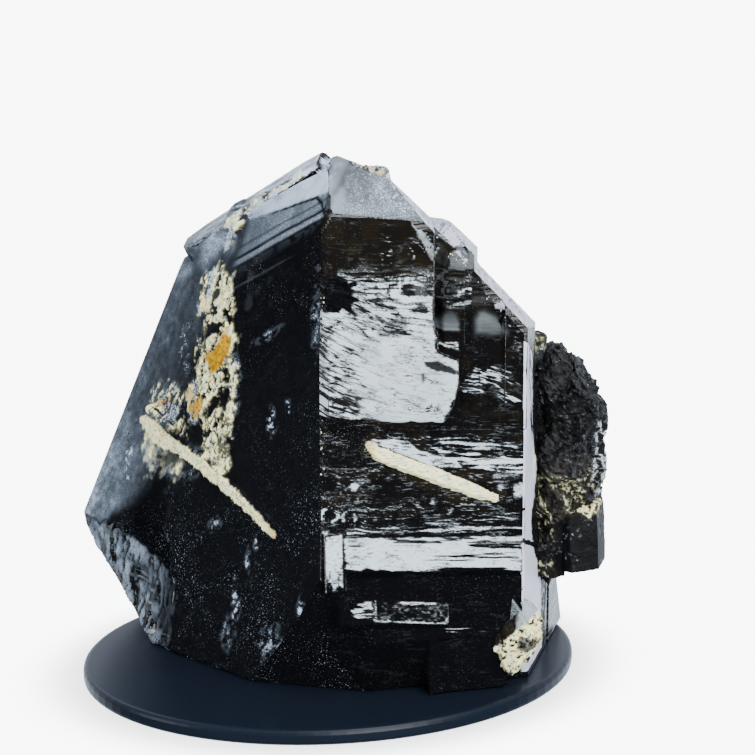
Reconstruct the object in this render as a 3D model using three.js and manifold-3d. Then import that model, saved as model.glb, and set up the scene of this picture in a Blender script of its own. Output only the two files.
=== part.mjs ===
// A morion quartz, a near-black smoky crystal with parallel growths and a side cluster, on a low oval stand.
// Millimetres, +Z up. The viewer's side is -Y and +X is to the viewer's right.
// The origin is the centre of the stand's underside.

import * as THREE from 'three';
import { ConvexGeometry } from 'three/addons/geometries/ConvexGeometry.js';
import { mergeVertices } from 'three/addons/utils/BufferGeometryUtils.js';
import Module from 'manifold-3d';

const wasm = await Module();
wasm.setup();

// The stand: an oval plate with a bevelled rim, turned a little on the table.
const stand = { halfLength: 46.5, halfWidth: 37.2, turn: 15, thickness: 3, bevel: 0.9, sides: 48 };

// The crystal is cut off flat just above the stand.
const restGap = 0.3;
const baseHeight = stand.thickness + restGap;

// Every face of the main crystal is a flat plane, given as seen from a point on its axis.
// azimuth: 0 faces the viewer, 90 faces right. rise: how many degrees the face looks up.
// distance: from the middle.
const middle = new THREE.Vector3(2, 3, 50);
const faces = {
  front: { azimuth: 14, rise: 0, distance: 27.7 },
  left: { azimuth: -43, rise: 1, distance: 23.3 },
  farLeft: { azimuth: -54, rise: 4, distance: 25.8 },
  leftBack: { azimuth: -99, rise: 23, distance: 37.2 },
  backLeft: { azimuth: -140, rise: 6, distance: 45.5 },
  back: { azimuth: 176, rise: 3, distance: 27 },
  rightBack: { azimuth: 120, rise: 18, distance: 27.1 },
  right: { azimuth: 76, rise: 0, distance: 37.7 },
  frontTip: { azimuth: 21.2, rise: 37.2, distance: 49 },
  leftTip: { azimuth: -80, rise: 45, distance: 41.6 },
  leftShoulder: { azimuth: -58.2, rise: 24.1, distance: 34 },
  backLeftTip: { azimuth: -150, rise: 52.8, distance: 32 },
  backTip: { azimuth: 142, rise: 57, distance: 36.4 },
  backRightTip: { azimuth: 135, rise: 44.3, distance: 28.8 },
  rightTip: { azimuth: 89, rise: 41.3, distance: 40.3 },
  leftHeel: { azimuth: -86, rise: -10, distance: 51.9 },
  leftUndercut: { azimuth: -88, rise: -37, distance: 56.4 },
  cornerFoot: { azimuth: -13, rise: -19, distance: 35 },
  frontFoot: { azimuth: 14, rise: -22, distance: 39.1 },
  backFoot: { azimuth: -176, rise: -24, distance: 42 },
};

// Growth ledges that break the edge between a tip face and the face below it, like a few stairs.
const ledges = [
  { tip: 'leftTip', side: 'left', count: 1, tipStep: 0.6, sideStep: 4.7 },
  { tip: 'leftShoulder', side: 'left', count: 2, tipStep: 0.4, sideStep: 1 },
  { tip: 'backRightTip', side: 'rightBack', count: 2, tipStep: 2.4, sideStep: 1.2 },
  { tip: 'backLeftTip', side: 'back', count: 3, tipStep: 1.8, sideStep: 1 },
];

// Steps on the front face, from the wide upper one to the small one at the foot. Each swells from nothing
// at its top to its thickness at its low line, then falls back to the face at its foot.
const steps = [
  { left: -0.9, right: 25.4, top: 33, low: 8.2, foot: 5.4, thickness: 1.3 },
  { left: 0.6, right: 37.2, top: -13.8, low: -20.6, foot: -22, thickness: 0.9 },
  { left: 3.4, right: 23.4, top: -26, low: -30.8, foot: -32, thickness: 0.7 },
];

// All the growth lines of the front face fall to the right by this much for each millimetre.
const stepDrop = Math.tan(THREE.MathUtils.degToRad(4.6));

// The wide step's broken outline, as places to the right and up on the front face.
const wideStepOutline = [
  [-1, 40], [-0.4, 24], [-1, 12], [-1, 2], [20, 2], [22, 5.6], [23.9, 9], [25, 13], [24.9, 17.6],
  [21.4, 19.2], [20.7, 23], [20.2, 27.4], [20.6, 31], [20.5, 40],
];

// A short upright bar at the front face's left corner, beside the lower step.
const cornerBar = { left: 0.2, right: 4.1, top: -13.6, low: -24.6, thickness: 1.2 };

// The upper right of the front face is set back, with upright blocks that grew side by side in it.
const recess = { left: 21.2, bottom: 6.2, depth: 3.4 };
const blocks = [
  { left: 22.6, right: 26.5, bottom: 14, top: 36.5, setBack: 1.1, tipRise: 50 },
  { left: 21.9, right: 26.2, bottom: 4, top: 21, setBack: 1.9, tipRise: 28 },
  { left: 27.1, right: 33.4, bottom: 13, top: 33.5, setBack: 1.7, tipRise: 42 },
  { left: 26.4, right: 34.2, bottom: 3, top: 18.5, setBack: 1.3, tipRise: 24 },
  { left: 33.9, right: 39, bottom: 4, top: 34, setBack: 0.6, tipRise: 38 },
];

// The blocks reach this far in behind the face. Their sides and foot lean, so that they narrow outward.
const blockReach = 9;
const blockSideLean = 0.35;
const blockFootLean = 0.6;

// One block stands a little proud of the right tip face and makes the outline's shoulder.
const shoulder = {
  left: 19.6, right: 28.4, bottom: 30, top: 37.5, setBack: 1.8, tipRise: 46, proud: 1.9, cap: 41.6,
};

// The dark cluster on the right side: angular lumps first, then small stubby crystals.
const clusterLumps = [
  { at: [41.4, 3, 56.4], size: [3.8, 8, 5], seed: 3 },
  { at: [43.2, 4, 53], size: [5.4, 9, 6], seed: 5 },
  { at: [44.6, 3, 48], size: [5.8, 8.5, 6.5], seed: 8 },
  { at: [42.4, 1.5, 43], size: [6.2, 9, 7.5], seed: 13 },
  { at: [41.4, 0.5, 36], size: [4.6, 8, 7], seed: 21 },
  { at: [44.6, 2.5, 32.6], size: [5.2, 6.5, 3.6], seed: 34 },
  { at: [40.2, 13, 47], size: [6.4, 9, 11], seed: 55 },
  { at: [40.4, 2, 27], size: [3.6, 7, 9], seed: 89 },
  { at: [45.4, 2, 40], size: [5.4, 5, 5], seed: 144 },
  { at: [36.5, 7, 43], size: [6.4, 9, 12], seed: 233 },
  { at: [36, 4, 52.5], size: [5.4, 7, 8], seed: 377 },
];
const clusterPoints = [
  { at: [37.6, 1, 54], radius: 1.8, length: 11.6, lean: [4, 0], turn: 10, tip: 0.9 },
  { at: [47.2, 2.5, 36.6], radius: 3.2, length: 9, lean: [10, 4], turn: 25, tip: 3 },
  { at: [46.1, 0, 21], radius: 5.4, length: 12.2, lean: [-3, 3], turn: 16, tip: 1.3 },
  { at: [40.8, -2.4, 20], radius: 3, length: 14, lean: [3, 2], turn: 40, tip: 2.4 },
  { at: [43.5, 11.5, 26], radius: 5, length: 14, lean: [10, -8], turn: 5, tip: 4.6 },
];

// Growths on the back that continue the crystal's faces where the front doesn't show them.
const backPoints = [
  { at: [13, 22.4, 2], radius: 12, length: 62, lean: [1, -1], turn: 16, tip: 10 },
  { at: [-11.5, 23, 2], radius: 10.5, length: 46, lean: [-4, -1], turn: 38, tip: 9 },
  { at: [27.5, 12, 2], radius: 8.6, length: 47, lean: [3, -3], turn: 8, tip: 7 },
  { at: [-27, 17, 2], radius: 6.4, length: 30, lean: [-12, -2], turn: 22, tip: 6 },
];

// Bars that lie in the faces: two of pale mineral, then a ledge along the upper left crest. The crusts are of
// the same mineral, along the joints.
const bars = [
  { face: 'front', from: [9.2, 1.6], to: [31.2, -8.6], width: 2.9, lift: 0.55, sink: 1.2 },
  { face: 'left', from: [-44.6, 0.2], to: [-11.4, -15], width: 2, lift: 0.45, sink: 1.2 },
  { face: 'leftTip', from: [-7.4, 39], to: [-30.6, 9.2], width: 5.6, lift: 1.6, sink: 1.5 },
];
const crusts = [
  { face: 'left', at: [-24.6, 17], size: [2.6, 7.2, 0.7], seed: 4 },
  { face: 'left', at: [-29.2, 5.2], size: [2.4, 5.2, 0.7], seed: 9 },
  { face: 'front', at: [35.9, -38.6], size: [2.9, 4.8, 1.3], seed: 16 },
  { face: 'front', at: [38.2, -35.6], size: [2.6, 4.8, 1.9], seed: 17 },
  { face: 'frontTip', at: [10.8, 43.2], size: [3.4, 1.2, 0.35], seed: 25 },
  { face: 'leftTip', at: [-21.8, 20.6], size: [3.2, 3.6, 2.4], seed: 29 },
];

// Upright grooves between parallel growths: left and right on the face, with the depth in the middle.
const grooves = [
  { face: 'right', left: 38.6, right: 41.4, top: -14, bottom: -49, depth: 1.5 },
  { face: 'rightBack', left: -6, right: -2.6, top: 16, bottom: -49, depth: 1.4 },
  { face: 'farLeft', left: -68, right: -65.8, top: 4, bottom: -22, depth: 0.9 },
];

// Shallow hollows: where a piece broke off low on the left, and pits on the front face.
const scoops = [
  { face: 'farLeft', at: [-46.5, -34], size: [13.5, 13, 2.6], turn: 38 },
  { face: 'farLeft', at: [-42.5, -40], size: [6, 12, 3], turn: 18 },
  { face: 'front', at: [5.4, 31.8], size: [4.6, 3.4, 1.2], turn: -12 },
  { face: 'front', at: [3.2, -9.6], size: [3, 2.6, 0.9], turn: 0 },
];

const radians = THREE.MathUtils.degToRad;

// The direction that a face looks, from its azimuth and rise.
function lookDirection({ azimuth, rise }) {
  const a = radians(azimuth);
  const r = radians(rise);
  return new THREE.Vector3(Math.sin(a) * Math.cos(r), -Math.cos(a) * Math.cos(r), Math.sin(r));
}

// A flat plane with its solid side behind it: every point p inside has normal . p <= offset.
function planeOf(face) {
  const normal = lookDirection(face);
  return { normal, offset: face.distance + normal.dot(middle) };
}

function planeAt(normal, point) {
  return { normal: normal.clone().normalize(), offset: normal.clone().normalize().dot(point) };
}

// The point where three planes meet, or null where they don't meet in one point.
function meetingPoint(a, b, c) {
  const bc = new THREE.Vector3().crossVectors(b.normal, c.normal);
  const volume = a.normal.dot(bc);
  if (Math.abs(volume) < 1e-6) return null;
  const ca = new THREE.Vector3().crossVectors(c.normal, a.normal);
  const ab = new THREE.Vector3().crossVectors(a.normal, b.normal);
  return bc.multiplyScalar(a.offset).addScaledVector(ca, b.offset).addScaledVector(ab, c.offset)
    .divideScalar(volume);
}

// A closed geometry made into a solid that can be joined and cut.
function solidFrom(geometry) {
  const bare = geometry.clone();
  bare.deleteAttribute('normal');
  bare.deleteAttribute('uv');
  const merged = mergeVertices(bare, 1e-4);
  const vertProperties = new Float32Array(merged.attributes.position.array);
  const triVerts = new Uint32Array(merged.index.array);
  return new wasm.Manifold(new wasm.Mesh({ numProp: 3, vertProperties, triVerts }));
}

// The convex solid that lies behind all of the given planes.
function blockBehind(planes) {
  const corners = [];
  for (let i = 0; i < planes.length; i++) {
    for (let j = i + 1; j < planes.length; j++) {
      for (let k = j + 1; k < planes.length; k++) {
        const point = meetingPoint(planes[i], planes[j], planes[k]);
        if (point && planes.every((plane) => plane.normal.dot(point) <= plane.offset + 1e-4)) {
          if (corners.every((corner) => corner.distanceTo(point) > 1e-3)) corners.push(point);
        }
      }
    }
  }
  return solidFrom(new ConvexGeometry(corners));
}

const basePlane = planeAt(new THREE.Vector3(0, 0, -1), new THREE.Vector3(0, 0, baseHeight));

// Faces are measured from the upright edge of the left and front faces, at the middle's height.
const heightPlane = planeAt(new THREE.Vector3(0, 0, 1), middle);
const edgePoint = meetingPoint(planeOf(faces.front), planeOf(faces.left), heightPlane);

// Directions on a face: right along it, up along it and out of it, from the edge point's foot on it.
function frameOn(face) {
  const plane = planeOf(face);
  const out = plane.normal;
  const a = radians(face.azimuth);
  const right = new THREE.Vector3(Math.cos(a), Math.sin(a), 0);
  const up = new THREE.Vector3().crossVectors(out, right);
  if (up.z < 0) up.negate();
  const origin = edgePoint.clone().addScaledVector(out, plane.offset - out.dot(edgePoint));
  return { origin, right, up, out };
}

function pointOn(frame, x, y, lift) {
  return frame.origin.clone().addScaledVector(frame.right, x).addScaledVector(frame.up, y)
    .addScaledVector(frame.out, lift);
}

function hullOf(points) {
  return solidFrom(new ConvexGeometry(points));
}

// A pseudo-random number from 0 to 1, the same each time for the same inputs.
function scatter(seed, index) {
  const value = Math.sin(seed * 127.1 + index * 311.7) * 43758.5453;
  return value - Math.floor(value);
}

// The main crystal: one block behind all of its faces.
function mainCrystal() {
  return blockBehind([...Object.values(faces).map(planeOf), basePlane]);
}

// Stairs along an edge: each cut goes deeper into one face and less into the other.
function ledgeCuts({ tip, side, count, tipStep, sideStep }) {
  const tipPlane = planeOf(faces[tip]);
  const sidePlane = planeOf(faces[side]);
  const along = new THREE.Vector3().crossVectors(tipPlane.normal, sidePlane.normal).normalize();
  const reach = 70;
  const clear = 5;
  const cuts = [];
  for (let k = 1; k <= count; k++) {
    const tipDepth = k * tipStep;
    const sideDepth = (count + 1 - k) * sideStep;
    cuts.push(blockBehind([
      { normal: tipPlane.normal.clone().negate(), offset: tipDepth - tipPlane.offset },
      { normal: sidePlane.normal.clone().negate(), offset: sideDepth - sidePlane.offset },
      { normal: tipPlane.normal, offset: tipPlane.offset + clear },
      { normal: sidePlane.normal, offset: sidePlane.offset + clear },
      { normal: along, offset: along.dot(middle) + reach },
      { normal: along.clone().negate(), offset: reach - along.dot(middle) },
    ]));
  }
  return cuts;
}

// A step on the front face: flush at its top, proud at its low line, back to the face at its foot.
function faceStep({ left, right, top, low, foot, thickness }) {
  const frame = frameOn(faces.front);
  const sink = -recess.depth - 0.5;
  const footLift = 0.05;
  const points = [];
  for (const x of [left, right]) {
    const fall = x * stepDrop;
    points.push(pointOn(frame, x, top - fall, 0), pointOn(frame, x, low - fall, thickness));
    points.push(pointOn(frame, x, foot - fall, footLift));
    points.push(pointOn(frame, x, top - fall, sink), pointOn(frame, x, foot - fall, sink));
  }
  return hullOf(points);
}

// A straight-sided prism that stands through a face, with the given outline on it.
function prismThrough(frame, outline, halfDepth) {
  const shape = new THREE.Shape(outline.map(([x, y]) => new THREE.Vector2(x, y)));
  const prism = new THREE.ExtrudeGeometry(shape, { depth: 2 * halfDepth, bevelEnabled: false });
  prism.translate(0, 0, -halfDepth);
  prism.applyMatrix4(layOn(frame).setPosition(frame.origin));
  return solidFrom(prism);
}

// An upright bar at the corner of the front face, thin at its top and cut back under its foot.
function uprightBar({ left, right, top, low, thickness }) {
  const frame = frameOn(faces.front);
  const topLift = 0.3;
  const undercut = 0.6;
  const sink = -2;
  const points = [];
  for (const x of [left, right]) {
    points.push(pointOn(frame, x, top, topLift), pointOn(frame, x, low, thickness));
    points.push(pointOn(frame, x, top, sink), pointOn(frame, x, low - undercut, sink));
  }
  return hullOf(points);
}

// The space set back at the upper right of the front face.
function recessCut() {
  const frame = frameOn(faces.front);
  const far = 70;
  const clear = 1;
  const sideSlope = 0.8;
  const corners = [
    [recess.left, -recess.depth], [recess.left - sideSlope, clear], [far, -recess.depth], [far, clear],
  ];
  const points = [];
  for (const [x, lift] of corners) {
    const fall = x * stepDrop;
    points.push(pointOn(frame, x, recess.bottom - fall, lift));
    points.push(pointOn(frame, x, far, lift));
  }
  return hullOf(points);
}

// An upright block in the recess, with a small sloping tip face. It ends at the crystal's own faces,
// or a little past them where it stands proud.
function growthBlock({ left, right, bottom, top, setBack, tipRise, proud = 0, cap = 60 }) {
  const frame = frameOn(faces.front);
  const tilt = radians(tipRise);
  const tipNormal = frame.out.clone().multiplyScalar(Math.cos(tilt));
  tipNormal.addScaledVector(frame.up, Math.sin(tilt));
  const leftNormal = frame.right.clone().negate().addScaledVector(frame.out, blockSideLean);
  const rightNormal = frame.right.clone().addScaledVector(frame.out, blockSideLean);
  const footNormal = frame.up.clone().negate().addScaledVector(frame.out, blockFootLean);
  const capNormal = new THREE.Vector3(0.2, 0, 1);
  const ends = [faces.right, faces.rightTip, faces.backRightTip].map(planeOf);
  for (const end of ends) end.offset += proud;
  return blockBehind([
    ...ends,
    planeAt(capNormal, pointOn(frame, left, cap, -setBack)),
    planeAt(frame.out, pointOn(frame, 0, 0, -setBack)),
    planeAt(frame.out.clone().negate(), pointOn(frame, 0, 0, -blockReach)),
    planeAt(leftNormal, pointOn(frame, left, 0, -setBack)),
    planeAt(rightNormal, pointOn(frame, right, 0, -setBack)),
    planeAt(footNormal, pointOn(frame, left, bottom - left * stepDrop, -setBack)),
    planeAt(tipNormal, pointOn(frame, left, top, -setBack)),
  ]);
}

// A small quartz crystal: a six-sided prism with six tip faces, three of them larger.
function quartzPoint({ at, radius, length, lean, turn, tip }) {
  const nearSide = 0.92;
  const smallTip = 0.7;
  const planes = [planeAt(new THREE.Vector3(0, 0, -1), new THREE.Vector3(0, 0, 0))];
  const tipRise = radians(38.2);
  for (let i = 0; i < 6; i++) {
    const a = radians(turn + i * 60);
    const side = new THREE.Vector3(Math.sin(a), -Math.cos(a), 0);
    planes.push(planeAt(side, side.clone().multiplyScalar(radius * (i % 2 ? nearSide : 1))));
    const tipNormal = side.clone().multiplyScalar(Math.cos(tipRise));
    tipNormal.z = Math.sin(tipRise);
    const tipFoot = length - tip * (i % 2 ? smallTip : 1);
    planes.push(planeAt(tipNormal, side.clone().multiplyScalar(radius).setZ(tipFoot)));
  }
  planes.push(planeAt(new THREE.Vector3(0, 0, 1), new THREE.Vector3(0, 0, length)));
  const block = blockBehind(planes);
  return block.rotate([-lean[1], lean[0], 0]).translate(at);
}

// An angular lump: flat faces round an egg shape, each nearer or farther by a little.
// Without a frame its size is along X, Y and Z, and with one it is along a face's right, up and out.
function angularLump(at, size, seed, frame) {
  const planes = [];
  const directions = 20;
  const nearest = 0.86;
  const spread = 0.2;
  const goldenTurn = Math.PI * (3 - Math.sqrt(5));
  for (let i = 0; i < directions; i++) {
    const height = 1 - (2 * i + 1) / directions;
    const turn = i * goldenTurn + seed;
    const ring = Math.sqrt(1 - height * height);
    const onBall = new THREE.Vector3(ring * Math.cos(turn), ring * Math.sin(turn), height);
    const reach = nearest + spread * scatter(seed, i);
    const normal = new THREE.Vector3(onBall.x / size[0], onBall.y / size[1], onBall.z / size[2]);
    const point = new THREE.Vector3(onBall.x * size[0], onBall.y * size[1], onBall.z * size[2]);
    point.multiplyScalar(reach);
    if (frame) {
      const turned = layOn(frame);
      normal.applyMatrix4(turned);
      point.applyMatrix4(turned);
    }
    planes.push(planeAt(normal, point.add(at)));
  }
  return blockBehind(planes);
}

function stripped(geometry) {
  geometry.deleteAttribute('normal');
  geometry.deleteAttribute('uv');
  return geometry;
}

// A turn that lays an object's X, Y and Z along a face's right, up and out.
function layOn(frame) {
  return new THREE.Matrix4().makeBasis(frame.right, frame.up, frame.out);
}

// A bar sunk into a face, with bevelled ends.
function faceBar({ face, from, to, width, lift, sink }) {
  const frame = frameOn(faces[face]);
  const along = new THREE.Vector2(to[0] - from[0], to[1] - from[1]);
  const length = along.length();
  along.normalize();
  const across = new THREE.Vector2(-along.y, along.x);
  const points = [];
  const section = [[0.5, -sink], [0.5, lift * 0.5], [0.34, lift]];
  for (const [share, height] of section) {
    for (const side of [-1, 1]) {
      for (const [run, taper] of [[0, 0.7], [width, 1], [length - width, 1], [length, 0.6]]) {
        const x = from[0] + along.x * run + across.x * side * share * width * taper;
        const y = from[1] + along.y * run + across.y * side * share * width * taper;
        points.push(pointOn(frame, x, y, height));
      }
    }
  }
  return hullOf(points);
}

// A groove with sloping sides that fades out at both its ends.
function grooveCut({ face, left, right, top, bottom, depth }) {
  const frame = frameOn(faces[face]);
  const centre = (left + right) / 2;
  const fade = right - left;
  return hullOf([
    pointOn(frame, left, top, 0.4), pointOn(frame, right, top, 0.4),
    pointOn(frame, left, bottom, 0.4), pointOn(frame, right, bottom, 0.4),
    pointOn(frame, centre, top - fade, -depth), pointOn(frame, centre, bottom + fade, -depth),
  ]);
}

// A shallow hollow: the cap of a faceted ball taken out of a face.
function scoopCut({ face, at, size, turn }) {
  const frame = frameOn(faces[face]);
  const [halfWidth, halfHeight, depth] = size;
  const overlap = 4;
  const ball = mergeVertices(stripped(new THREE.IcosahedronGeometry(1, 2)), 1e-4);
  ball.rotateZ(0.4);
  const rise = overlap * depth;
  const spread = 1 / Math.sqrt(1 - (overlap / (overlap + 1)) ** 2);
  ball.scale(halfWidth * spread, halfHeight * spread, rise + depth);
  ball.rotateZ(radians(turn));
  ball.translate(0, 0, rise);
  ball.applyMatrix4(layOn(frame));
  const centre = pointOn(frame, at[0], at[1], 0);
  ball.translate(centre.x, centre.y, centre.z);
  return solidFrom(ball);
}

// The whole crystal group, joined in one solid and cut off flat at its base.
function crystalGroup() {
  let group = mainCrystal();
  for (const cut of ledges.flatMap(ledgeCuts)) group = group.subtract(cut);
  for (const point of backPoints) group = group.add(quartzPoint(point));
  group = group.subtract(recessCut());
  for (const block of blocks) group = group.add(growthBlock(block));
  group = group.add(growthBlock(shoulder));
  const [wideStep, ...lowSteps] = steps;
  const outline = prismThrough(frameOn(faces.front), wideStepOutline, recess.depth * 2);
  group = group.add(faceStep(wideStep).intersect(outline));
  for (const step of lowSteps) group = group.add(faceStep(step));
  group = group.add(uprightBar(cornerBar)).intersect(behindLeftFace());
  for (const groove of grooves) group = group.subtract(grooveCut(groove));
  for (const scoop of scoops) group = group.subtract(scoopCut(scoop));
  for (const { at, size, seed } of clusterLumps) {
    group = group.add(angularLump(new THREE.Vector3(...at), size, seed));
  }
  for (const point of clusterPoints) group = group.add(quartzPoint(point));
  for (const bar of bars) group = group.add(faceBar(bar));
  for (const { face, at, size, seed } of crusts) {
    const frame = frameOn(faces[face]);
    group = group.add(angularLump(pointOn(frame, at[0], at[1], 0), size, seed, frame));
  }
  return group.subtract(belowBase());
}

// Everything behind the left face, which the steps of the front face end at.
function behindLeftFace() {
  const far = 200;
  const { normal, offset } = planeOf(faces.left);
  const box = new THREE.BoxGeometry(far, far, far);
  box.applyQuaternion(new THREE.Quaternion().setFromUnitVectors(new THREE.Vector3(0, 0, 1), normal));
  const centre = normal.clone().multiplyScalar(offset - far / 2);
  box.translate(centre.x, centre.y, centre.z);
  return solidFrom(box);
}

// Everything lower than the flat cut base.
function belowBase() {
  const size = 300;
  const box = new THREE.BoxGeometry(size, size, size);
  box.translate(0, 0, baseHeight - size / 2);
  return solidFrom(box);
}

// The stand: an oval outline with a bevel round both its rims.
function standPlate() {
  const { halfLength, halfWidth, turn, thickness, bevel, sides } = stand;
  const outline = new THREE.Shape();
  outline.absellipse(0, 0, halfLength - bevel, halfWidth - bevel, 0, 2 * Math.PI, false, radians(turn));
  const plate = new THREE.ExtrudeGeometry(outline, {
    depth: thickness - 2 * bevel,
    bevelEnabled: true,
    bevelThickness: bevel,
    bevelSize: bevel,
    bevelSegments: 3,
    curveSegments: sides,
  });
  plate.translate(0, 0, bevel);
  return solidFrom(plate);
}

// A solid made back into a mesh with flat facets, its name and its own material.
function namedMesh(name, solid, look) {
  const mesh = solid.getMesh();
  const geometry = new THREE.BufferGeometry();
  geometry.setAttribute('position', new THREE.BufferAttribute(mesh.vertProperties, mesh.numProp));
  geometry.setIndex(new THREE.BufferAttribute(mesh.triVerts, 1));
  const faceted = geometry.toNonIndexed();
  faceted.computeVertexNormals();
  const object = new THREE.Mesh(faceted, new THREE.MeshStandardMaterial(look));
  object.name = name;
  return object;
}

const morion = new THREE.Group();
morion.add(namedMesh('morion_crystal', crystalGroup(), { color: 0x12100f, roughness: 0.18, metalness: 0 }));
morion.add(namedMesh('display_stand', standPlate(), { color: 0x0c0d10, roughness: 0.3, metalness: 0 }));

export default morion;
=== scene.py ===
# A morion quartz on its low oval stand, dressed for a close look.
# Lengths are in millimetres until a mesh is made, and angles are in degrees.
import math

import bpy
import numpy as np
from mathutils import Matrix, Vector


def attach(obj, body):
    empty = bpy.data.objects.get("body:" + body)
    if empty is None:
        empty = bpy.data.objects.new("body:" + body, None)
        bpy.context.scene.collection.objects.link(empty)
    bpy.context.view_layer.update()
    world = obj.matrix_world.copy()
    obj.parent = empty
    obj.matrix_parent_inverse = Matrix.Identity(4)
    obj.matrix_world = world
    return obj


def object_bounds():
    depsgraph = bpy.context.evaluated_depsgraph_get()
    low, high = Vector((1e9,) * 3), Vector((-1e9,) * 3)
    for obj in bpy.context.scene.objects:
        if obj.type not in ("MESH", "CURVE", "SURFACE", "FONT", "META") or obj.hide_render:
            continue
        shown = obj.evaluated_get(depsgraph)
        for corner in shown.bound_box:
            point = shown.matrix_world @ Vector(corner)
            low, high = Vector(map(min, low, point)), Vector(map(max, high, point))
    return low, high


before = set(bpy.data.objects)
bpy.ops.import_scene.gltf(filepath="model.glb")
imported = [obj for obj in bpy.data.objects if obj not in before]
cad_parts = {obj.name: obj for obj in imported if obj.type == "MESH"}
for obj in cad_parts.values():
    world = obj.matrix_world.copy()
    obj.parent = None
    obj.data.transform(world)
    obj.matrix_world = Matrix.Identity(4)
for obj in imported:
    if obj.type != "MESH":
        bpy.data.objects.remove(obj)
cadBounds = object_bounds()
print("frame loaded")

millimetre = 0.001

# The crystal's own faces, as in the part: azimuth (0 faces the viewer, 90 faces right), rise, distance
# from the middle.
crystalFaces = {
    "front": (14, 0, 27.7),
    "left": (-43, 1, 23.3),
    "right": (76, 0, 37.7),
    "frontTip": (21.2, 37.2, 49),
    "leftTip": (-80, 45, 41.6),
    "rightTip": (89, 41.3, 40.3),
}
crystalMiddle = np.array([2.0, 3.0, 50.0])
hashScales = (127.1, 311.7, 74.7, 43758.5453)


def hashed(x, y, seed):
    # A fixed number from 0 to 1 for every whole-number pair: the fraction left of a large sine.
    first, second, third, size = hashScales
    value = np.sin(x * first + y * second + seed * third) * size
    return value - np.floor(value)


def eased(value, low, high):
    # 0 below low, 1 above high, and an S-curve between them.
    t = np.clip((value - low) / (high - low), 0, 1)
    return t * t * (3 - 2 * t)


def softNoise(x, y, seed):
    # Smooth noise from 0 to 1: four hashed corners of each unit square, blended by eased distances.
    x0, y0 = np.floor(x), np.floor(y)
    fx, fy = eased(x - x0, 0, 1), eased(y - y0, 0, 1)
    low = hashed(x0, y0, seed) * (1 - fx) + hashed(x0 + 1, y0, seed) * fx
    high = hashed(x0, y0 + 1, seed) * (1 - fx) + hashed(x0 + 1, y0 + 1, seed) * fx
    return low * (1 - fy) + high * fy


def layeredNoise(x, y, seed, layers=4):
    # A sum of soft noises, each twice as fine and half as strong as the one before, back to 0 to 1.
    total = np.zeros(np.broadcast(x, y).shape)
    for layer in range(layers):
        total += softNoise(x * 2 ** layer, y * 2 ** layer, seed + layer) / 2 ** (layer + 1)
    return total / (1 - 0.5 ** layers)


def veins(x, y, seed, layers=3):
    # 1 where layered noise is at its middle value and less away from it: thin lines that wander.
    return 1 - np.abs(2 * layeredNoise(x, y, seed, layers) - 1)


def spaceNoise(points, cell, seed, layers=3):
    # Layered smooth noise in space: the eight hashed corners of each cube, blended by eased distances.
    total = np.zeros(points.shape[:-1])
    for layer in range(layers):
        place = points / cell * 2 ** layer + 11.3 * layer
        corner = np.floor(place)
        past = np.moveaxis(eased(place - corner, 0, 1), -1, 0)
        for step in np.ndindex(2, 2, 2):
            i, j, k = np.moveaxis(corner + step, -1, 0)
            share = math.prod(part if one else 1 - part for part, one in zip(past, step))
            total += hashed(i + 57 * k, j + 31 * k, seed + layer) * share / 2 ** (layer + 1)
    return total / (1 - 0.5 ** layers)


def lookDirection(azimuth, rise):
    # The way a face looks: its azimuth turns from the viewer to the right, its rise lifts it.
    a, r = math.radians(azimuth), math.radians(rise)
    return np.array([math.sin(a) * math.cos(r), -math.cos(a) * math.cos(r), math.sin(r)])


def planeOffset(face):
    # A plane's distance from the frame's origin along its own direction.
    return crystalFaces[face][2] + lookDirection(*crystalFaces[face][:2]) @ crystalMiddle


# The upright edge of the front and left faces, at the middle's height: both faces are measured from it.
edgePoint = np.linalg.solve(
    [lookDirection(*crystalFaces["front"][:2]), lookDirection(*crystalFaces["left"][:2]), [0, 0, 1]],
    [planeOffset("front"), planeOffset("left"), crystalMiddle[2]])


def faceAxes(face):
    # The edge point's foot on the face, then the directions right along it, up along it and out of it.
    azimuth, rise, _ = crystalFaces[face]
    out = lookDirection(azimuth, rise)
    right = np.array([math.cos(math.radians(azimuth)), math.sin(math.radians(azimuth)), 0])
    up = np.cross(out, right)
    up = up if up[2] > 0 else -up
    origin = edgePoint + out * (planeOffset(face) - out @ edgePoint)
    return origin, right, up, out


def edgeSlope(face, other):
    # How much the edge of two faces rises for each millimetre to the right on the first one.
    _, right, up, out = faceAxes(face)
    along = np.cross(out, lookDirection(*crystalFaces[other][:2]))
    return (along @ up) / (along @ right)


def nearSegment(across, line, start, end):
    # How far along a segment each point's foot on it lies, from 0 to 1, and the distance to that foot.
    run, rise = end[0] - start[0], end[1] - start[1]
    x, y = across - start[0], line - start[1]
    share = np.clip((x * run + y * rise) / (run * run + rise * rise), 0, 1)
    return share, np.hypot(x - share * run, y - share * rise)


def insideDistance(across, line, outline):
    # How far inside an outline each point is, less than 0 outside: the nearest side's distance, with its
    # sign from how many sides a ray to the right crosses.
    nearest = np.full(across.shape, 1e9)
    inside = np.zeros(across.shape, bool)
    for (x0, y0), (x1, y1) in zip(outline, outline[1:] + outline[:1]):
        nearest = np.minimum(nearest, nearSegment(across, line, (x0, y0), (x1, y1))[1])
        if y1 != y0:
            crossing = (line >= min(y0, y1)) & (line < max(y0, y1))
            inside ^= crossing & (across < x0 + (line - y0) * (x1 - x0) / (y1 - y0))
    return np.where(inside, nearest, -nearest)


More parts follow.
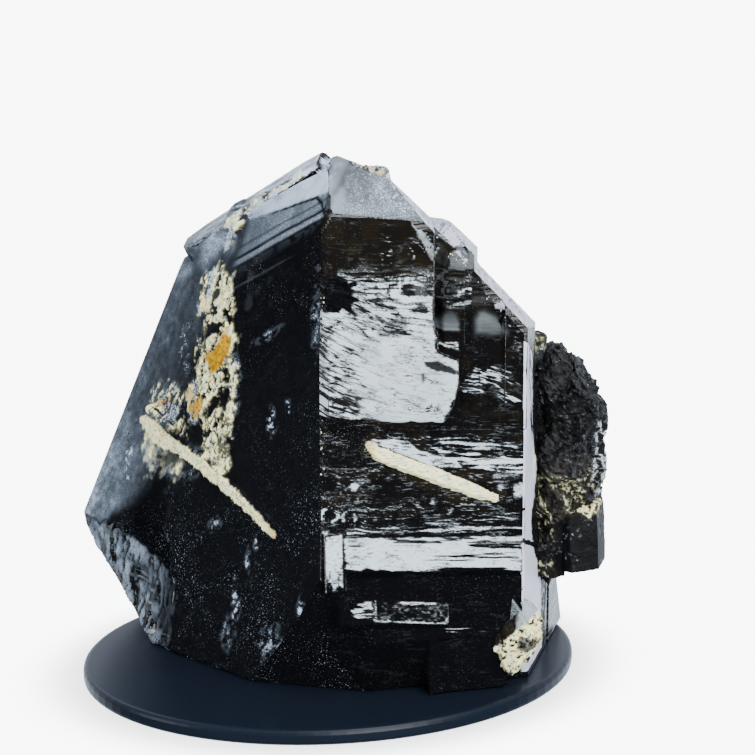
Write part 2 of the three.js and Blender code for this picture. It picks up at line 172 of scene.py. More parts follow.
def strandDistance(across, line, strand):
    # How far inside a strand of changing width each point is: half its width there less the distance to its
    # path. The strand's points are places with half widths.
    best = np.full(across.shape, -1e9)
    for (x0, y0, r0), (x1, y1, r1) in zip(strand, strand[1:]):
        share, gap = nearSegment(across, line, (x0, y0), (x1, y1))
        best = np.maximum(best, r0 + (r1 - r0) * share - gap)
    return best


def patchMask(across, line, outline, ragged, seed, cell=(1.6, 0.7)):
    # 1 inside an outline and 0 outside, with an edge that noise pushes in and out.
    push = ragged * 2 * (layeredNoise(across / cell[0], line / cell[1], seed, 3) - 0.5)
    return eased(insideDistance(across, line, outline) + push, -0.1, 0.2)


def solidTriangles(node):
    # The corners of a node's triangles, in millimetres: one row of three points for each.
    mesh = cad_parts[node].data
    mesh.calc_loop_triangles()
    places = np.empty(len(mesh.vertices) * 3)
    mesh.vertices.foreach_get("co", places)
    corners = np.empty(len(mesh.loop_triangles) * 3, int)
    mesh.loop_triangles.foreach_get("vertices", corners)
    return places.reshape(-1, 3)[corners.reshape(-1, 3)] / millimetre


crystalTriangles = solidTriangles("morion_crystal")


def solidHeight(axes, across, up):
    # How far out of a face's plane the solid's surface is. Every triangle that looks outward covers the
    # points inside its outline, its plane gives their height, and the highest one counts.
    origin, *directions = axes
    local = (crystalTriangles - origin) @ np.array(directions).T
    first, second = local[:, 1] - local[:, 0], local[:, 2] - local[:, 0]
    area = first[:, 0] * second[:, 1] - first[:, 1] * second[:, 0]
    height = np.full(across.shape, np.nan)
    rowLow, rowHigh = up.min(1), up.max(1)
    for (a, b, c), size in zip(local[area > 1e-7], area[area > 1e-7]):
        rows = np.flatnonzero((rowHigh >= min(a[1], b[1], c[1])) & (rowLow <= max(a[1], b[1], c[1])))
        if not rows.size:
            continue
        part = slice(rows[0], rows[-1] + 1)
        x, y = across[part] - a[0], up[part] - a[1]
        s = (x * (c[1] - a[1]) - y * (c[0] - a[0])) / size
        t = (y * (b[0] - a[0]) - x * (b[1] - a[1])) / size
        inside = (s >= -1e-6) & (t >= -1e-6) & (s + t <= 1 + 1e-6)
        level = a[2] + s * (b[2] - a[2]) + t * (c[2] - a[2])
        height[part] = np.where(inside, np.fmax(height[part], level), height[part])
    return height


def rounded(base, known, reach, passes=3):
    # The surface with its creases spread out: running means along both directions, over known points only.
    # It also gives the share of known points round each one, which falls below 1 near the border.
    total, weight = np.where(known, base, 0.0), known.astype(float)
    for _ in range(passes):
        for axis in (0, 1):
            for sheet in (total, weight):
                padded = np.pad(sheet, [(reach + 1, reach) if k == axis else (0, 0) for k in (0, 1)])
                sums = np.cumsum(padded, axis)
                width = 2 * reach + 1
                ahead = np.take(sums, np.arange(width, padded.shape[axis]), axis)
                behind = np.take(sums, np.arange(padded.shape[axis] - width), axis)
                sheet[...] = (ahead - behind) / width
    return total / np.maximum(weight, 1e-6), weight


def newPiece(name, points, faces, material, looks, places=None, smooth=True):
    # A mesh object from points in millimetres, kept inside the part's box. Each row of looks holds frost,
    # crust, ochre, blackness, dullness, grain, hair and dust. places, where given, become its UV map in
    # millimetres on the face.
    mesh = bpy.data.meshes.new(name)
    mesh.from_pydata(np.clip(points * millimetre, *cadBounds), [], faces)
    looks = np.asarray(looks, np.float32)
    # the frost look also carries the painted sheen, reflections and glints of some pieces
    for kind, first in (("looks", 0), ("finish", 4)):
        colours = mesh.color_attributes.new(kind, "FLOAT_COLOR", "POINT")
        colours.data.foreach_set("color", np.ascontiguousarray(looks[:, first:first + 4]).ravel())
    if places is not None:
        corners = np.empty(len(mesh.loops), int)
        mesh.loops.foreach_get("vertex_index", corners)
        layer = mesh.uv_layers.new(name="place")
        layer.data.foreach_set("uv", np.ascontiguousarray(places[corners], np.float32).ravel())
    mesh.polygons.foreach_set("use_smooth", np.full(len(mesh.polygons), smooth))
    mesh.validate()
    piece = bpy.data.objects.new(name, mesh)
    bpy.context.scene.collection.objects.link(piece)
    mesh.materials.append(material)
    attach(piece, "root")


# How deep the skins sink at their borders, and how gently, in millimetres.
borderSink, borderFade = 0.15, 0.35


def dressFace(name, face, shape, relief, material):
    # A closed skin over one face. Its top is a grid that runs along the face's growth lines and lies on
    # the solid's surface plus the relief. It sinks below the surface at its border, and every border edge
    # is closed by a triangle to one point inside the crystal.
    axes = faceAxes(face)
    origin, right, up, out = axes
    outline, slope, (stepAcross, stepDown) = shape["outline"], shape["slope"], shape["spacing"]
    corners = np.array(outline)
    columns = np.arange(corners[:, 0].min(), corners[:, 0].max() + stepAcross, stepAcross)
    lines = np.arange(corners[:, 1].max(), corners[:, 1].min() - stepDown, -stepDown)
    across, line = np.meshgrid(columns, lines)
    upward = line + slope * across
    base = solidHeight(axes, across, upward)
    inner = insideDistance(across, line, outline)
    keep = (inner > -stepAcross) & (base > shape["floor"]) & (base < shape.get("ceiling", 60))
    base = np.where(keep, base, 0)
    if "rounding" in shape:
        spread, share = rounded(base, keep, shape["rounding"])
        base = base + np.maximum(spread + shape["thickness"] - base, 0) * eased(share, 0.80, 0.99)
    lift, looks, flow = relief(across, line, base)
    fade = eased(inner, 0, shape.get("fade", borderFade))
    height = base + fade * lift - (1 - fade) * borderSink
    cells = keep[:-1, :-1] & keep[1:, :-1] & keep[:-1, 1:] & keep[1:, 1:]
    index = np.arange(across.size).reshape(across.shape)
    quads = np.stack([index[:-1, :-1], index[1:, :-1], index[1:, 1:], index[:-1, 1:]], -1)[cells]
    edges = np.concatenate([quads[:, [k, (k + 1) % 4]] for k in range(4)])
    forward = edges[:, 0] * across.size + edges[:, 1]
    backward = edges[:, 1] * across.size + edges[:, 0]
    border = edges[~np.isin(forward, backward)]
    used, renumbered = np.unique(quads, return_inverse=True)
    quads = renumbered.reshape(quads.shape)
    border = np.searchsorted(used, border)
    places = (origin + across[..., None] * right + upward[..., None] * up
              + height[..., None] * out).reshape(-1, 3)[used]
    deep = places.mean(0) - out * shape["depth"]
    caps = np.stack([border[:, 1], border[:, 0], np.full(len(border), len(used))], -1)
    looks = np.concatenate([looks.reshape(-1, 8)[used], [[0, 0, 0, 1, 0, 0, 0, 0]]])
    flat = np.stack([across, flow], -1).reshape(-1, 2)[used]
    newPiece(name, np.concatenate([places, [deep]]), quads.tolist() + caps.tolist(), material, looks,
             np.concatenate([flat, [flat.mean(0)]]))
    print(name, len(quads) * 2 + len(caps), "triangles")


def emptyTree(owner):
    # Empties a material's or a world's nodes. The function that it gives back adds a node and wires or
    # sets its inputs: name -> value, or (node, output name).
    owner.use_nodes = True
    tree = owner.node_tree
    tree.nodes.clear()

    def add(kind, inputs=None, **settings):
        node = tree.nodes.new(kind)
        for key, value in settings.items():
            setattr(node, key, value)
        for key, value in (inputs or {}).items():
            if isinstance(value, tuple) and len(value) == 2 and hasattr(value[0], "outputs"):
                tree.links.new(value[0].outputs[value[1]], node.inputs[key])
            else:
                node.inputs[key].default_value = value
        return node
    return add


morionLooks = {
    "black": (0.0026, 0.0027, 0.0034, 1),
    "brown": (0.0090, 0.0074, 0.0046, 1),
    # the pale colour of frost and dust, which some pieces also use for painted sheen and reflections
    "frost": (0.55, 0.635, 0.68, 1),
    "cream": (0.98, 0.92, 0.47, 1),
    "chalk": (0.70, 0.76, 0.54, 1),
    "ochre": (0.46, 0.235, 0.010, 1),
    "polish": 0.09,           # roughness of the bare mineral
    "frostRoughness": 0.36,
    "crustRoughness": 0.85,
    "dullRoughness": 0.3,     # added where the piece is dull
    "specular": 0.45,
    "ior": 1.55,
    "grainCell": 0.24,        # millimetres, as the cells below: the grain that breaks up frost
    "coarseCell": 0.624,      # and the grain that breaks up crust
    "mottleCell": 1.1,
    "cloudCell": 9.0,
    "dustCell": 0.25,
    "areaCell": 14.0,
    "dentCell": 5.0,
    "shadow": 0.30,           # how dark the hollows between crust grains are
    "grainBump": 0.12,
    "rippleBump": 1.3,
    "dentBump": 1.6,
    "bumpStrength": 0.55,
    "bumpDepth": 0.0003,      # metres
    "spotGain": 1.3,          # makes up for the area that crisp spots lose
    "darkHair": 0.50,         # the noise levels that the hairs follow
    "paleHair": 0.43,
    "paleHairShare": 0.22,
}
# Where each noise sets in and where it is full, then what it gives there, if that isn't 0 and 1.
noiseRanges = {
    "grain": (0.32, 0.68, 0.15, 0.85),
    "spots": (-0.12, 0.28),
    "specks": (0.66, 0.76),
    "clouds": (0.42, 0.58, 0.12, 1.0),
    "mottle": (0.46, 0.62),
    "hollows": (0.32, 0.50),
    "hairWidth": (0.38, 0.66, -0.012, 0.030),
    "hairEdge": (0.0, 0.008),
    "growthLines": (0.52, 0.66),
    "growthAreas": (0.47, 0.60),
    "behind": (-2.0, 10.0, 0.0),
}
# Cells for each millimetre of the noises that run along the growth lines.
noiseStretches = {
    "hairs": (0.19, 1.05, 1),
    "hairWidth": (0.5, 0.9, 1),
    "growthLines": (0.11, 0.11, 1.3),
    "ripples": (0.07, 0.07, 0.8),
}


def morionMaterial(name, values, stretch=None, dust=0.5, growth=0.0):
    # Black glassy mineral. Frost, crust, ochre, blackness, dullness, grain and hair come from the piece.
    # With a stretch the grain runs along the growth lines of the face, else it is even in space. growth
    # gives faces without a skin their own pale lines and clouds.
    material = bpy.data.materials.new(name)
    add = emptyTree(material)
    places = add("ShaderNodeTexCoord")
    looks = add("ShaderNodeAttribute", attribute_name="looks")
    finish = add("ShaderNodeAttribute", attribute_name="finish")
    first = add("ShaderNodeSeparateColor", {"Color": (looks, "Color")})
    second = add("ShaderNodeSeparateColor", {"Color": (finish, "Color")})
    # frost also carries the painted sheen, reflections and glints that some pieces lay on as pale colour
    frostAndSheenHere, crustHere, ochreHere = ((first, part) for part in ("Red", "Green", "Blue"))
    dullHere, grainHere, hairHere = ((second, part) for part in ("Red", "Green", "Blue"))

    # Each of these helpers adds one node and gives back that node with the name of its output.
    def scaled(source, size):
        return add("ShaderNodeVectorMath", {0: source, "Scale": size}, operation="SCALE"), "Vector"

    def stretched(source, size):
        return add("ShaderNodeVectorMath", {0: source, 1: size}, operation="MULTIPLY"), "Vector"

    def noise(vector, cell, detail, roughness=0.55):
        return add("ShaderNodeTexNoise", {"Vector": vector, "Scale": 1 / cell, "Detail": detail,
                                          "Roughness": roughness}), "Fac"

    def ranged(value, *limits):
        names = ("From Min", "From Max", "To Min", "To Max")
        return add("ShaderNodeMapRange", {"Value": value, **dict(zip(names, limits))}), "Result"

    def maths(operation, *inputs):
        return add("ShaderNodeMath", dict(enumerate(inputs)), operation=operation), "Value"

    def product(first, second):
        return maths("MULTIPLY", first, second)

    def mixed(kind, factor, first, second):
        return add("ShaderNodeMix", {"Factor": factor, "A": first, "B": second}, data_type=kind), "Result"

    def broken(value, grainNoise):
        # The value again, but with the grain's share of it turned into crisp spots of the same mean.
        level = ranged(grainNoise, *noiseRanges["grain"])
        above = maths("SUBTRACT", product(value, values["spotGain"]), level)
        return mixed("FLOAT", grainHere, value, ranged(above, *noiseRanges["spots"]))

    def contour(field, level, width):
        # Thin lines where a noise field passes a level. The width changes with the place.
        away = maths("ABSOLUTE", maths("SUBTRACT", field, level), 0.0)
        return ranged(maths("SUBTRACT", width, away), *noiseRanges["hairEdge"])

    space = scaled((places, "Object"), 1 / millimetre)
    face = (add("ShaderNodeUVMap", uv_map="place"), "UV") if stretch else space
    fitted = stretched(face, stretch or (1, 1, 1))
    grain = noise(fitted, values["grainCell"], 3.0)
    coarse = noise(fitted, values["coarseCell"], 4.0)
    # dust: irregular specks where fine noise peaks, mostly where the clouds are dense
    speck = ranged(noise(space, values["dustCell"], 1.0, 0.4), *noiseRanges["specks"])
    dense = ranged(noise(space, values["cloudCell"], 4.0), *noiseRanges["clouds"])
    dusty = product(product(speck, dense), product((finish, "Alpha"), dust))
    frost = broken(frostAndSheenHere, grain)
    if stretch:
        # hairs along the growth lines, dark where the face is pale and pale where it is dark
        wander = noise(stretched(face, noiseStretches["hairs"]), 1.0, 4.0, 0.6)
        thickness = noise(stretched(face, noiseStretches["hairWidth"]), 3.0, 2.0)
        width = ranged(thickness, *noiseRanges["hairWidth"])
        dark = product(contour(wander, values["darkHair"], width), hairHere)
        pale = product(product(contour(wander, values["paleHair"], width), hairHere), values["paleHairShare"])
        frost = mixed("FLOAT", dark, maths("MAXIMUM", frost, pale), 0.0)
    if growth:
        # pale growth lines that lie level, thicker in some places, on the back only
        level = noise(stretched(space, noiseStretches["growthLines"]), 1.0, 4.0, 0.6)
        areas = ranged(noise(space, values["areaCell"], 3.0), *noiseRanges["growthAreas"])
        split = add("ShaderNodeSeparateXYZ", {"Vector": space})
        behind = ranged((split, "Y"), *noiseRanges["behind"], growth)
        lined = product(product(ranged(level, *noiseRanges["growthLines"]), areas), behind)
        frost = maths("MAXIMUM", frost, lined)
    frostDustAndSheen = maths("MAXIMUM", frost, dusty)
    crusty = broken(crustHere, coarse)
    dark = mixed("RGBA", (looks, "Alpha"), values["brown"], values["black"])
    frosted = mixed("RGBA", frostDustAndSheen, dark, values["frost"])
    mottle = ranged(noise(space, values["mottleCell"], 5.0), *noiseRanges["mottle"])
    clean = mixed("RGBA", mottle, values["cream"], values["chalk"])
    stained = mixed("RGBA", ochreHere, clean, values["ochre"])
    shaded = ranged(coarse, *noiseRanges["hollows"], values["shadow"], 1.0)
    colour = mixed("RGBA", crusty, frosted, scaled(stained, shaded))
    smooth = ranged(frostDustAndSheen, 0.0, 1.0, values["polish"], values["frostRoughness"])
    duller = maths("MULTIPLY_ADD", dullHere, values["dullRoughness"], smooth)
    relief = product(grain, values["grainBump"])
    if growth:
        # level ripples and soft dents that break up the mirrored light
        ripples = noise(stretched(space, noiseStretches["ripples"]), 1.0, 5.0, 0.65)
        dents = noise(space, values["dentCell"], 3.0)
        relief = maths("ADD", product(ripples, values["rippleBump"]), product(dents, values["dentBump"]))
    heights = maths("MULTIPLY_ADD", coarse, crusty, relief)
    bump = add("ShaderNodeBump", {"Height": heights, "Strength": values["bumpStrength"],
                                  "Distance": values["bumpDepth"]})
    surface = add("ShaderNodeBsdfPrincipled", {
        "Base Color": colour, "Roughness": mixed("FLOAT", crusty, duller, values["crustRoughness"]),
        "Specular IOR Level": ranged(dullHere, 0.0, 1.0, values["specular"], 0.0),
        "Normal": (bump, "Normal"), "IOR": values["ior"]})
    add("ShaderNodeOutputMaterial", {"Surface": (surface, "BSDF")})
    return material


def plainMaterial(name, colour, roughness, specular):
    # One colour, roughness and shine all over.
    material = bpy.data.materials.new(name)
    material.use_nodes = True
    surface = material.node_tree.nodes["Principled BSDF"]
    surface.inputs["Base Color"].default_value = colour
    surface.inputs["Roughness"].default_value = roughness
    surface.inputs["Specular IOR Level"].default_value = specular
    return material


striped = morionMaterial("morion_striped", morionLooks, stretch=(0.5, 2.2, 1.0), dust=0.6)
bare = morionMaterial("morion_bare", {**morionLooks, "polish": 0.16, "specular": 0.35}, dust=0.4, growth=0.4)
rocky = morionMaterial("morion_rocky", {**morionLooks, "polish": 0.20, "grainBump": 0.5}, dust=0.12)
# a bluer frost colour, for the painted blue-grey sheen of the left face
blueSheenAndFilm = morionMaterial("morion_blue_sheen_and_film", {**morionLooks, "frost": (0.50, 0.605, 0.74, 1)}, dust=0.6)
# a lilac-white frost colour, also the painted reflection on the right face
lilac = morionMaterial("morion_lilac", {**morionLooks, "frost": (0.60, 0.62, 0.74, 1)}, dust=0.2)
# a blue-grey frost colour: frost on the front tip, painted reflection on the left tip
bluish = morionMaterial("morion_bluish", {**morionLooks, "frost": (0.52, 0.62, 0.74, 1)}, dust=0.15)
print("materials made")


def looksArray(across, frost=0, crust=0, ochre=0, brown=0, dull=0, grain=0.6, hair=0, dust=1):
    # The eight looks of every point in one array. The fourth is 1 where the crystal has no brown.
    values = (frost, crust, ochre, 1 - np.asarray(brown), dull, grain, hair, dust)
    return np.stack([np.broadcast_to(value, across.shape) for value in values], -1)


frontShape = {
    "outline": [(-0.45, -23), (-0.45, 20), (0.2, 45.7), (16.2, 45.2), (17.6, 43.4), (21.0, 43.9), (25.2, 42.2),
                (28.6, 38.6), (30.6, 31.2), (34.5, 27.5), (37.6, 24.0), (37.6, -28.4), (34.5, -46), (3, -46),
                (0.8, -30)],
    "slope": -math.tan(math.radians(4.6)),
    "spacing": (0.32, 0.12),
    "floor": -4.8,
    "depth": 12,
}
# Outlines on the front face: places to the right, and growth lines counted up.
frontPatches = {
    "upper": [(-0.3, 30.6), (2.6, 29.6), (5.4, 31.2), (6.6, 33.4), (12.5, 33.0), (20.4, 34.6), (20.2, 29.1),
              (20.4, 25.5), (20.9, 20.9), (24.6, 19.4), (24.8, 16.4), (24.4, 13.0), (22.8, 9.8), (21.8, 7.9),
              (12.2, 8.0), (-0.8, 8.9)],
    "lined": [(1.0, 31.0), (6.0, 32.4), (20.5, 33.0), (20.7, 37.0), (12.0, 36.6), (6.4, 36.8), (4.0, 36.0)],
    "notch": [(0.2, 34.8), (3.6, 34.4), (5.0, 33.4), (6.8, 34.0), (5.4, 31.3), (7.2, 30.2), (5.6, 29.5),
              (6.2, 27.4), (3.8, 28.7), (2.4, 27.5), (0.1, 28.6)],
    "sliver": [(18.5, 19.0), (21.2, 19.3), (24.7, 17.6), (24.5, 16.7), (21.0, 17.3), (18.7, 18.2)],
    "fleck": [(18.0, 16.9), (18.5, 17.2), (18.8, 16.3), (18.4, 15.0), (18.1, 15.2)],
    "lower": [(3.9, -14.4), (37.8, -14.2), (37.8, -21.2), (31.0, -20.9), (22.0, -20.7), (9.4, -20.3),
              (7.9, -19.7), (6.8, -20.4), (4.1, -19.9)],
    "aboveLower": [(4.6, -12.7), (21.0, -12.2), (37.8, -12.5), (37.8, -13.3), (20.0, -13.5), (4.6, -13.8)],
    "bar": [(0.5, -14.0), (3.7, -13.5), (3.5, -23.6), (2.7, -23.0), (1.9, -24.3), (1.2, -22.6), (0.3, -22.9)],
    "foot": [(9.5, -26.4), (23.4, -27.2), (23.3, -31.2), (9.4, -30.4)],
    "footLeft": [(4.6, -29.2), (5.4, -27.4), (9.2, -26.5), (9.2, -30.1), (6.4, -29.8)],
    "footRight": [(22.8, -32.0), (33.0, -32.3), (32.6, -33.0), (23.2, -32.8)],
    "aboveBar": [(9.0, 4.2), (13.2, 4.5), (16.4, 3.9), (17.4, 2.6), (20.0, 1.6), (25.0, 0.2), (26.2, -1.4),
                 (20.2, -0.9), (14.6, 1.4), (9.4, 3.6)],
    "streaksHigh": [(18.5, 5.0), (26, 4.4), (37.0, 3.4), (37.2, 2.0), (28, 2.3), (23.0, 3.2)],
    "streaksLow": [(19.5, 3.2), (24.0, 1.9), (37.4, 0.8), (37.4, -2.2), (29.0, -1.6), (22.6, 0.6)],
    "darkRight": [(28.0, -2.4), (37.4, -1.6), (37.2, -4.2), (31.0, -4.0)],
    "veined": [(25.2, 13.2), (26.5, 15.4), (29.0, 17.2), (32.0, 17.6), (35.0, 16.6), (37.6, 14.0), (37.6, 10.6),
               (33.0, 11.4), (28.0, 12.4)],
    "chamfer": [(38.0, -28.6), (36.2, -30.6), (34.8, -33.6), (33.9, -36.4), (35.8, -35.2), (38.2, -33.4)],
    "bent": [(19.0, -11.2), (30.0, -10.4), (37.4, -9.4), (37.4, -11.0), (29.0, -12.2), (19.6, -12.4)],
    "wedge": [(16.2, 45.1), (17.4, 44.4), (19.0, 42.2), (20.4, 40.3), (21.0, 38.2), (20.7, 36.2),
              (19.8, 37.8), (18.6, 40.2), (17.2, 42.6)],
    "paleTop": [(20.6, 43.6), (23.0, 42.9), (25.0, 41.9), (26.4, 40.0), (24.6, 39.4), (22.6, 40.8),
                (20.4, 42.0)],
    "navy": [(19.9, 41.4), (22.4, 40.4), (23.9, 38.2), (22.8, 36.2), (21.2, 37.0)],
    "paleFacet": [(24.0, 38.6), (25.4, 39.8), (27.6, 39.2), (29.2, 37.4), (29.0, 35.9), (26.0, 35.5),
                  (23.4, 35.8)],
    "whiteSpot": [(25.9, 32.5), (27.9, 32.4), (28.0, 30.6), (26.6, 31.2), (25.0, 30.8)],
    "hollowLeft": [(21.2, 26.0), (22.3, 27.8), (23.8, 28.5), (25.2, 27.9), (25.9, 26.0), (25.8, 24.0),
                   (21.6, 24.1), (21.0, 25.0)],
    "hollowRight": [(28.0, 26.4), (28.9, 28.2), (30.2, 28.6), (32.7, 27.5), (35.0, 24.9), (35.2, 23.2),
                    (32.0, 22.5), (28.0, 23.0)],
    "smallPatch": [(21.7, 22.5), (25.4, 22.2), (25.3, 20.8), (23.4, 21.2), (21.6, 21.4)],
    "edgeCrumbs": [(34.6, 27.0), (36.0, 25.0), (37.0, 22.0), (37.2, 17.0), (36.0, 16.6), (35.2, 20.6)],
}
frontBar = [(8.7, 3.2, 0.8), (10.5, 1.6, 1.45), (20, -2.2, 1.5), (29, -5.8, 1.3), (32.0, -6.9, 0.8)]
frontCrack = [(10.4, 3.3, 0.05), (15.0, 1.4, 0.10), (21.0, -1.1, 0.12), (27.0, -3.0, 0.08)]
frontSpots = [(5.9, -4.7, 0.9), (20.7, -7.7, 1.1), (33.2, -5.0, 0.8), (37.0, -5.6, 2.0), (0.6, -13.4, 0.9)]
# Rings of the chip: place to the right, growth line, radius, strength.
frontRings = [(1.3, -10.2, 1.5, 0.95), (4.9, -10.6, 1.15, 0.7)]
# Where the skin fills the solid's recess: its dark lower right is nearly flush with the face. The small step
# near the foot gets a filled left side.
frontFill = {"top": 12.6, "foot": 9.2, "left": 21.0, "depth": 0.35, "step": 3.25, "stepHalf": 0.45,
             "stepHigh": -25.6, "stepLow": -31.6, "stepLift": 0.72}
# The solid's two hollows: place and reach, then how deep the skin leaves them. The chip is deepest at its
# core: place, and the distances where that sets in and is full.
frontHollows = {"chip": (3.2, -9.4, 4.0, 0.25), "notch": (5.4, 32.3, 4.4, 0.8)}
chipCore = (1.9, -10.4, 1.7, 0.8)
# Heights of the skin's relief in millimetres.
frontHeights = {"skin": 0.08, "broad": 0.06, "streaks": 0.05, "fine": 0.03, "jagged": 0.5, "crust": 0.15,
                "crustLumps": 0.22, "crustGrit": 0.10}
# How strong its frost (partly painted reflection), brown, ochre and grain are, from 0 to 1.
frontLooks = {"frost": 0.70, "spots": 0.75, "brown": 0.15, "topBrown": 0.30, "cloudBrown": 0.45, "barBrown": 0.9,
              "ochre": 0.5, "shine": 0.6, "grain": 0.85, "plainGrain": 0.55}


def frontTone(across, line):
    # How bright each point of the face is, from 0 to 1: patch by patch, each with its own texture. Its pale
    # sheets and streaks are partly frost and partly painted reflection, the light that the tiny growth terraces
    # mirror. It also gives a line coordinate that follows the growth lines' own slope, the noises that the
    # relief follows, and where the sheets are plain.
    bent = line + 1.2 * (layeredNoise(across / 6, line / 5, 5, 3) - 0.5)
    lean = eased(line, 6, 10) * eased(36 - line, 0, 6)
    flow = bent + lean * (0.34 * np.minimum(across, 12) + 0.10 * np.maximum(across - 12, 0))
    streaks = layeredNoise(across / 6, bent / 0.5, 11, 4)
    fine = layeredNoise(across / 1.7, bent / 0.3, 23, 3)
    clouds = layeredNoise(across / 3, line / 2.2, 37, 4)
    speckle = layeredNoise(across / 0.55, line / 0.36, 43, 2)
    longVeins = eased(veins(across / 5.0, flow / 1.0, 61, 4), 0.90, 0.975)
    shortVeins = eased(veins(across / 1.8, flow / 0.45, 67), 0.90, 0.985)

    def patch(name, ragged, seed, cell=(1.6, 0.7)):
        # 1 inside one of the face's outlines and 0 outside, with a ragged edge.
        return patchMask(across, line, frontPatches[name], ragged, seed, cell)

    # the wide upper sheet: flowing dark lines, densest above and at the left, smooth at its lower right
    rough = np.maximum(eased(line, 16, 29), eased(12 - across, 0, 10))
    sheet = 0.98 - 0.30 * eased(clouds, 0.42, 0.68) * (0.4 + 0.6 * rough)
    sheet -= 0.95 * longVeins * (0.35 + 0.65 * rough) * eased(clouds, 0.32, 0.46)
    sheet -= 0.60 * shortVeins * (0.10 + 0.90 * rough) * eased(clouds, 0.40, 0.56)
    tufts = layeredNoise(across / 3.0, (flow + 0.1 * across) / 0.42, 63, 4)
    sheet -= 0.50 * rough * eased(tufts, 0.52, 0.68)
    sheet -= 0.75 * eased(line, 26, 32) * eased(streaks, 0.48, 0.62)
    grey = np.hypot((across - 13.2) / 2.6, (line - 25.6) / 2.2)
    sheet -= 0.30 * eased(1.1 - grey + 0.8 * (clouds - 0.5), 0, 0.8)
    corner = eased(9.0 - across + 0.6 * (14 - line), 0, 9) * eased(20 - line, 0, 8)
    sheet -= 0.85 * corner * eased(0.35 * clouds + 0.65 * tufts, 0.45, 0.60)
    sheet *= 1 - 0.95 * patch("sliver", 0.25, 71, (0.8, 0.5)) - 0.9 * patch("fleck", 0.15, 72, (0.4, 0.4))
    upper = patch("upper", 0.55, 51)
    bright = upper * np.clip(sheet, 0.02, 1)
    lined = patch("lined", 1.0, 52) * eased(fine * 0.4 + streaks * 0.6, 0.48, 0.60)
    bright = np.maximum(bright, lined * (0.20 + 0.6 * eased(36.8 - line, 0, 4)))
    bright *= 1 - patch("notch", 0.45, 53, (1.1, 0.9))

    # the lower sheet: level, with long tapering dark streaks at its right
    tapers = layeredNoise(across / 8, line / 0.38, 29, 3) - 0.10 * eased(30 - across, 0, 14)
    lower = 1.0 - 0.30 * eased(speckle, 0.62, 0.8) - 0.25 * eased(clouds, 0.55, 0.75)
    lower -= 1.0 * eased(tapers, 0.51, 0.58) * eased(across, 14, 24)
    lower -= 0.9 * eased(layeredNoise(across / 5, line / 0.3, 31, 3), 0.55, 0.66) * eased(line, -16.6, -14.9)
    lower -= 0.7 * eased(layeredNoise(across / 3, line / 0.3, 33, 3), 0.6, 0.7) * eased(9 - across, 0, 5)
    level = patch("lower", 0.3, 54)
    hairs = eased(layeredNoise(across / 7, bent / 0.34, 47, 3), 0.50, 0.62)
    above = patch("aboveLower", 0.3, 55) * 0.85 * hairs
    column = 0.98 - 0.6 * eased(clouds, 0.5, 0.7) * eased(line, -19, -24) - 0.4 * eased(speckle, 0.55, 0.75)
    column = patch("bar", 0.3, 56, (0.7, 1.4)) * np.clip(column, 0, 1)
    bright = np.maximum.reduce([bright, level * np.clip(lower, 0.0, 1), above, column])
    gap = eased(0.20 - np.abs(across - 3.85 - 0.08 * (clouds - 0.5)), 0, 0.1) * eased(line, -24.4, -23.8)
    bright *= 1 - 0.95 * gap * eased(-line, 13.4, 13.9)

    # the step near the foot: bright along its lower and left borders and mottled inside
    inner = insideDistance(across, line, frontPatches["foot"])
    border = np.maximum(eased(-29.4 - line, 0, 0.8), eased(10.2 - across, 0, 0.5))
    rim = 0.95 * border * eased(0.55 + 0.5 * (speckle - 0.5) - inner, 0, 0.4)
    striped = 0.85 * eased(0.4 * fine + 0.6 * streaks, 0.50, 0.60) * eased(line, -28.4, -27)
    mottled = 0.35 * eased(speckle, 0.56, 0.72)

    # what fills the smaller patches: the step's ends, streaks round the pale bar, and the veined and bent
    # growth lines at the right
    torn = streaks + 0.25 * (fine - 0.5)
    arched = line + 0.24 * across + 0.03 * (across - 31) ** 2
    tangled = 0.95 * eased(veins(across / 4.5, arched / 0.8, 77, 4), 0.84, 0.96)
    fillings = {
        "foot": (0.2, 57, np.maximum.reduce([rim, striped, mottled])),
        "footLeft": (0.5, 58, 0.8 * eased(0.6 * fine + 0.4 * clouds, 0.46, 0.58)),
        "footRight": (0.3, 59, 0.6 * hairs),
        "aboveBar": (0.35, 73, 0.95 - 0.7 * eased(fine, 0.54, 0.68)),
        "streaksHigh": (0.6, 74, 0.8 * eased(torn, 0.46, 0.57)),
        "streaksLow": (0.6, 75, eased(torn, 0.40, 0.50)),
        "darkRight": (0.5, 76, 0.5 * eased(fine, 0.5, 0.65)),
        "veined": (0.9, 78, np.maximum(tangled, 0.16 * eased(speckle, 0.5, 0.7))),
        "bent": (0.4, 79, 0.8 * eased(veins(across / 9, bent / 0.9, 80), 0.88, 0.97)),
        "chamfer": (0.25, 82, 0.62 + 0.3 * (clouds - 0.5)),
    }
    for name, (ragged, seed, filling) in fillings.items():
        bright = np.maximum(bright, patch(name, ragged, seed) * filling)

    # thin bright growth lines in three zones, and grey flecks across the dark parts
    threads = eased(veins(across / 5, bent / 0.55, 81), 0.93, 0.985) * eased(clouds, 0.36, 0.5)
    zones = [0.65 * eased(-line, 5.5, 7.5) * eased(line, -14.5, -13) * eased(across, 1.5, 4),
             0.14 * eased(line, 30, 33) * eased(44 - line, 0, 6) * eased(21.5 - across, 0, 1),
             0.55 * eased(6.5 - line, 0, 2) * eased(line, -7, -4) * eased(across, 0.5, 2.5)]
    flecks = eased(speckle, 0.66, 0.8)
    high = eased(1.4 - np.abs(across - 11.8 - 0.5 * (clouds - 0.5)), 0, 0.8)
    high *= 0.8 * eased(line, 36, 37.5) * eased(43 - line, 0, 2)
    low = 0.5 * eased(8.0 - line, 0, 1) * eased(line, -15, -13) * eased(15 - across, -8, 12)
    low *= eased(clouds, 0.42, 0.6)
    bright = np.maximum.reduce([bright, threads * np.maximum.reduce(zones), high * flecks, low * flecks])

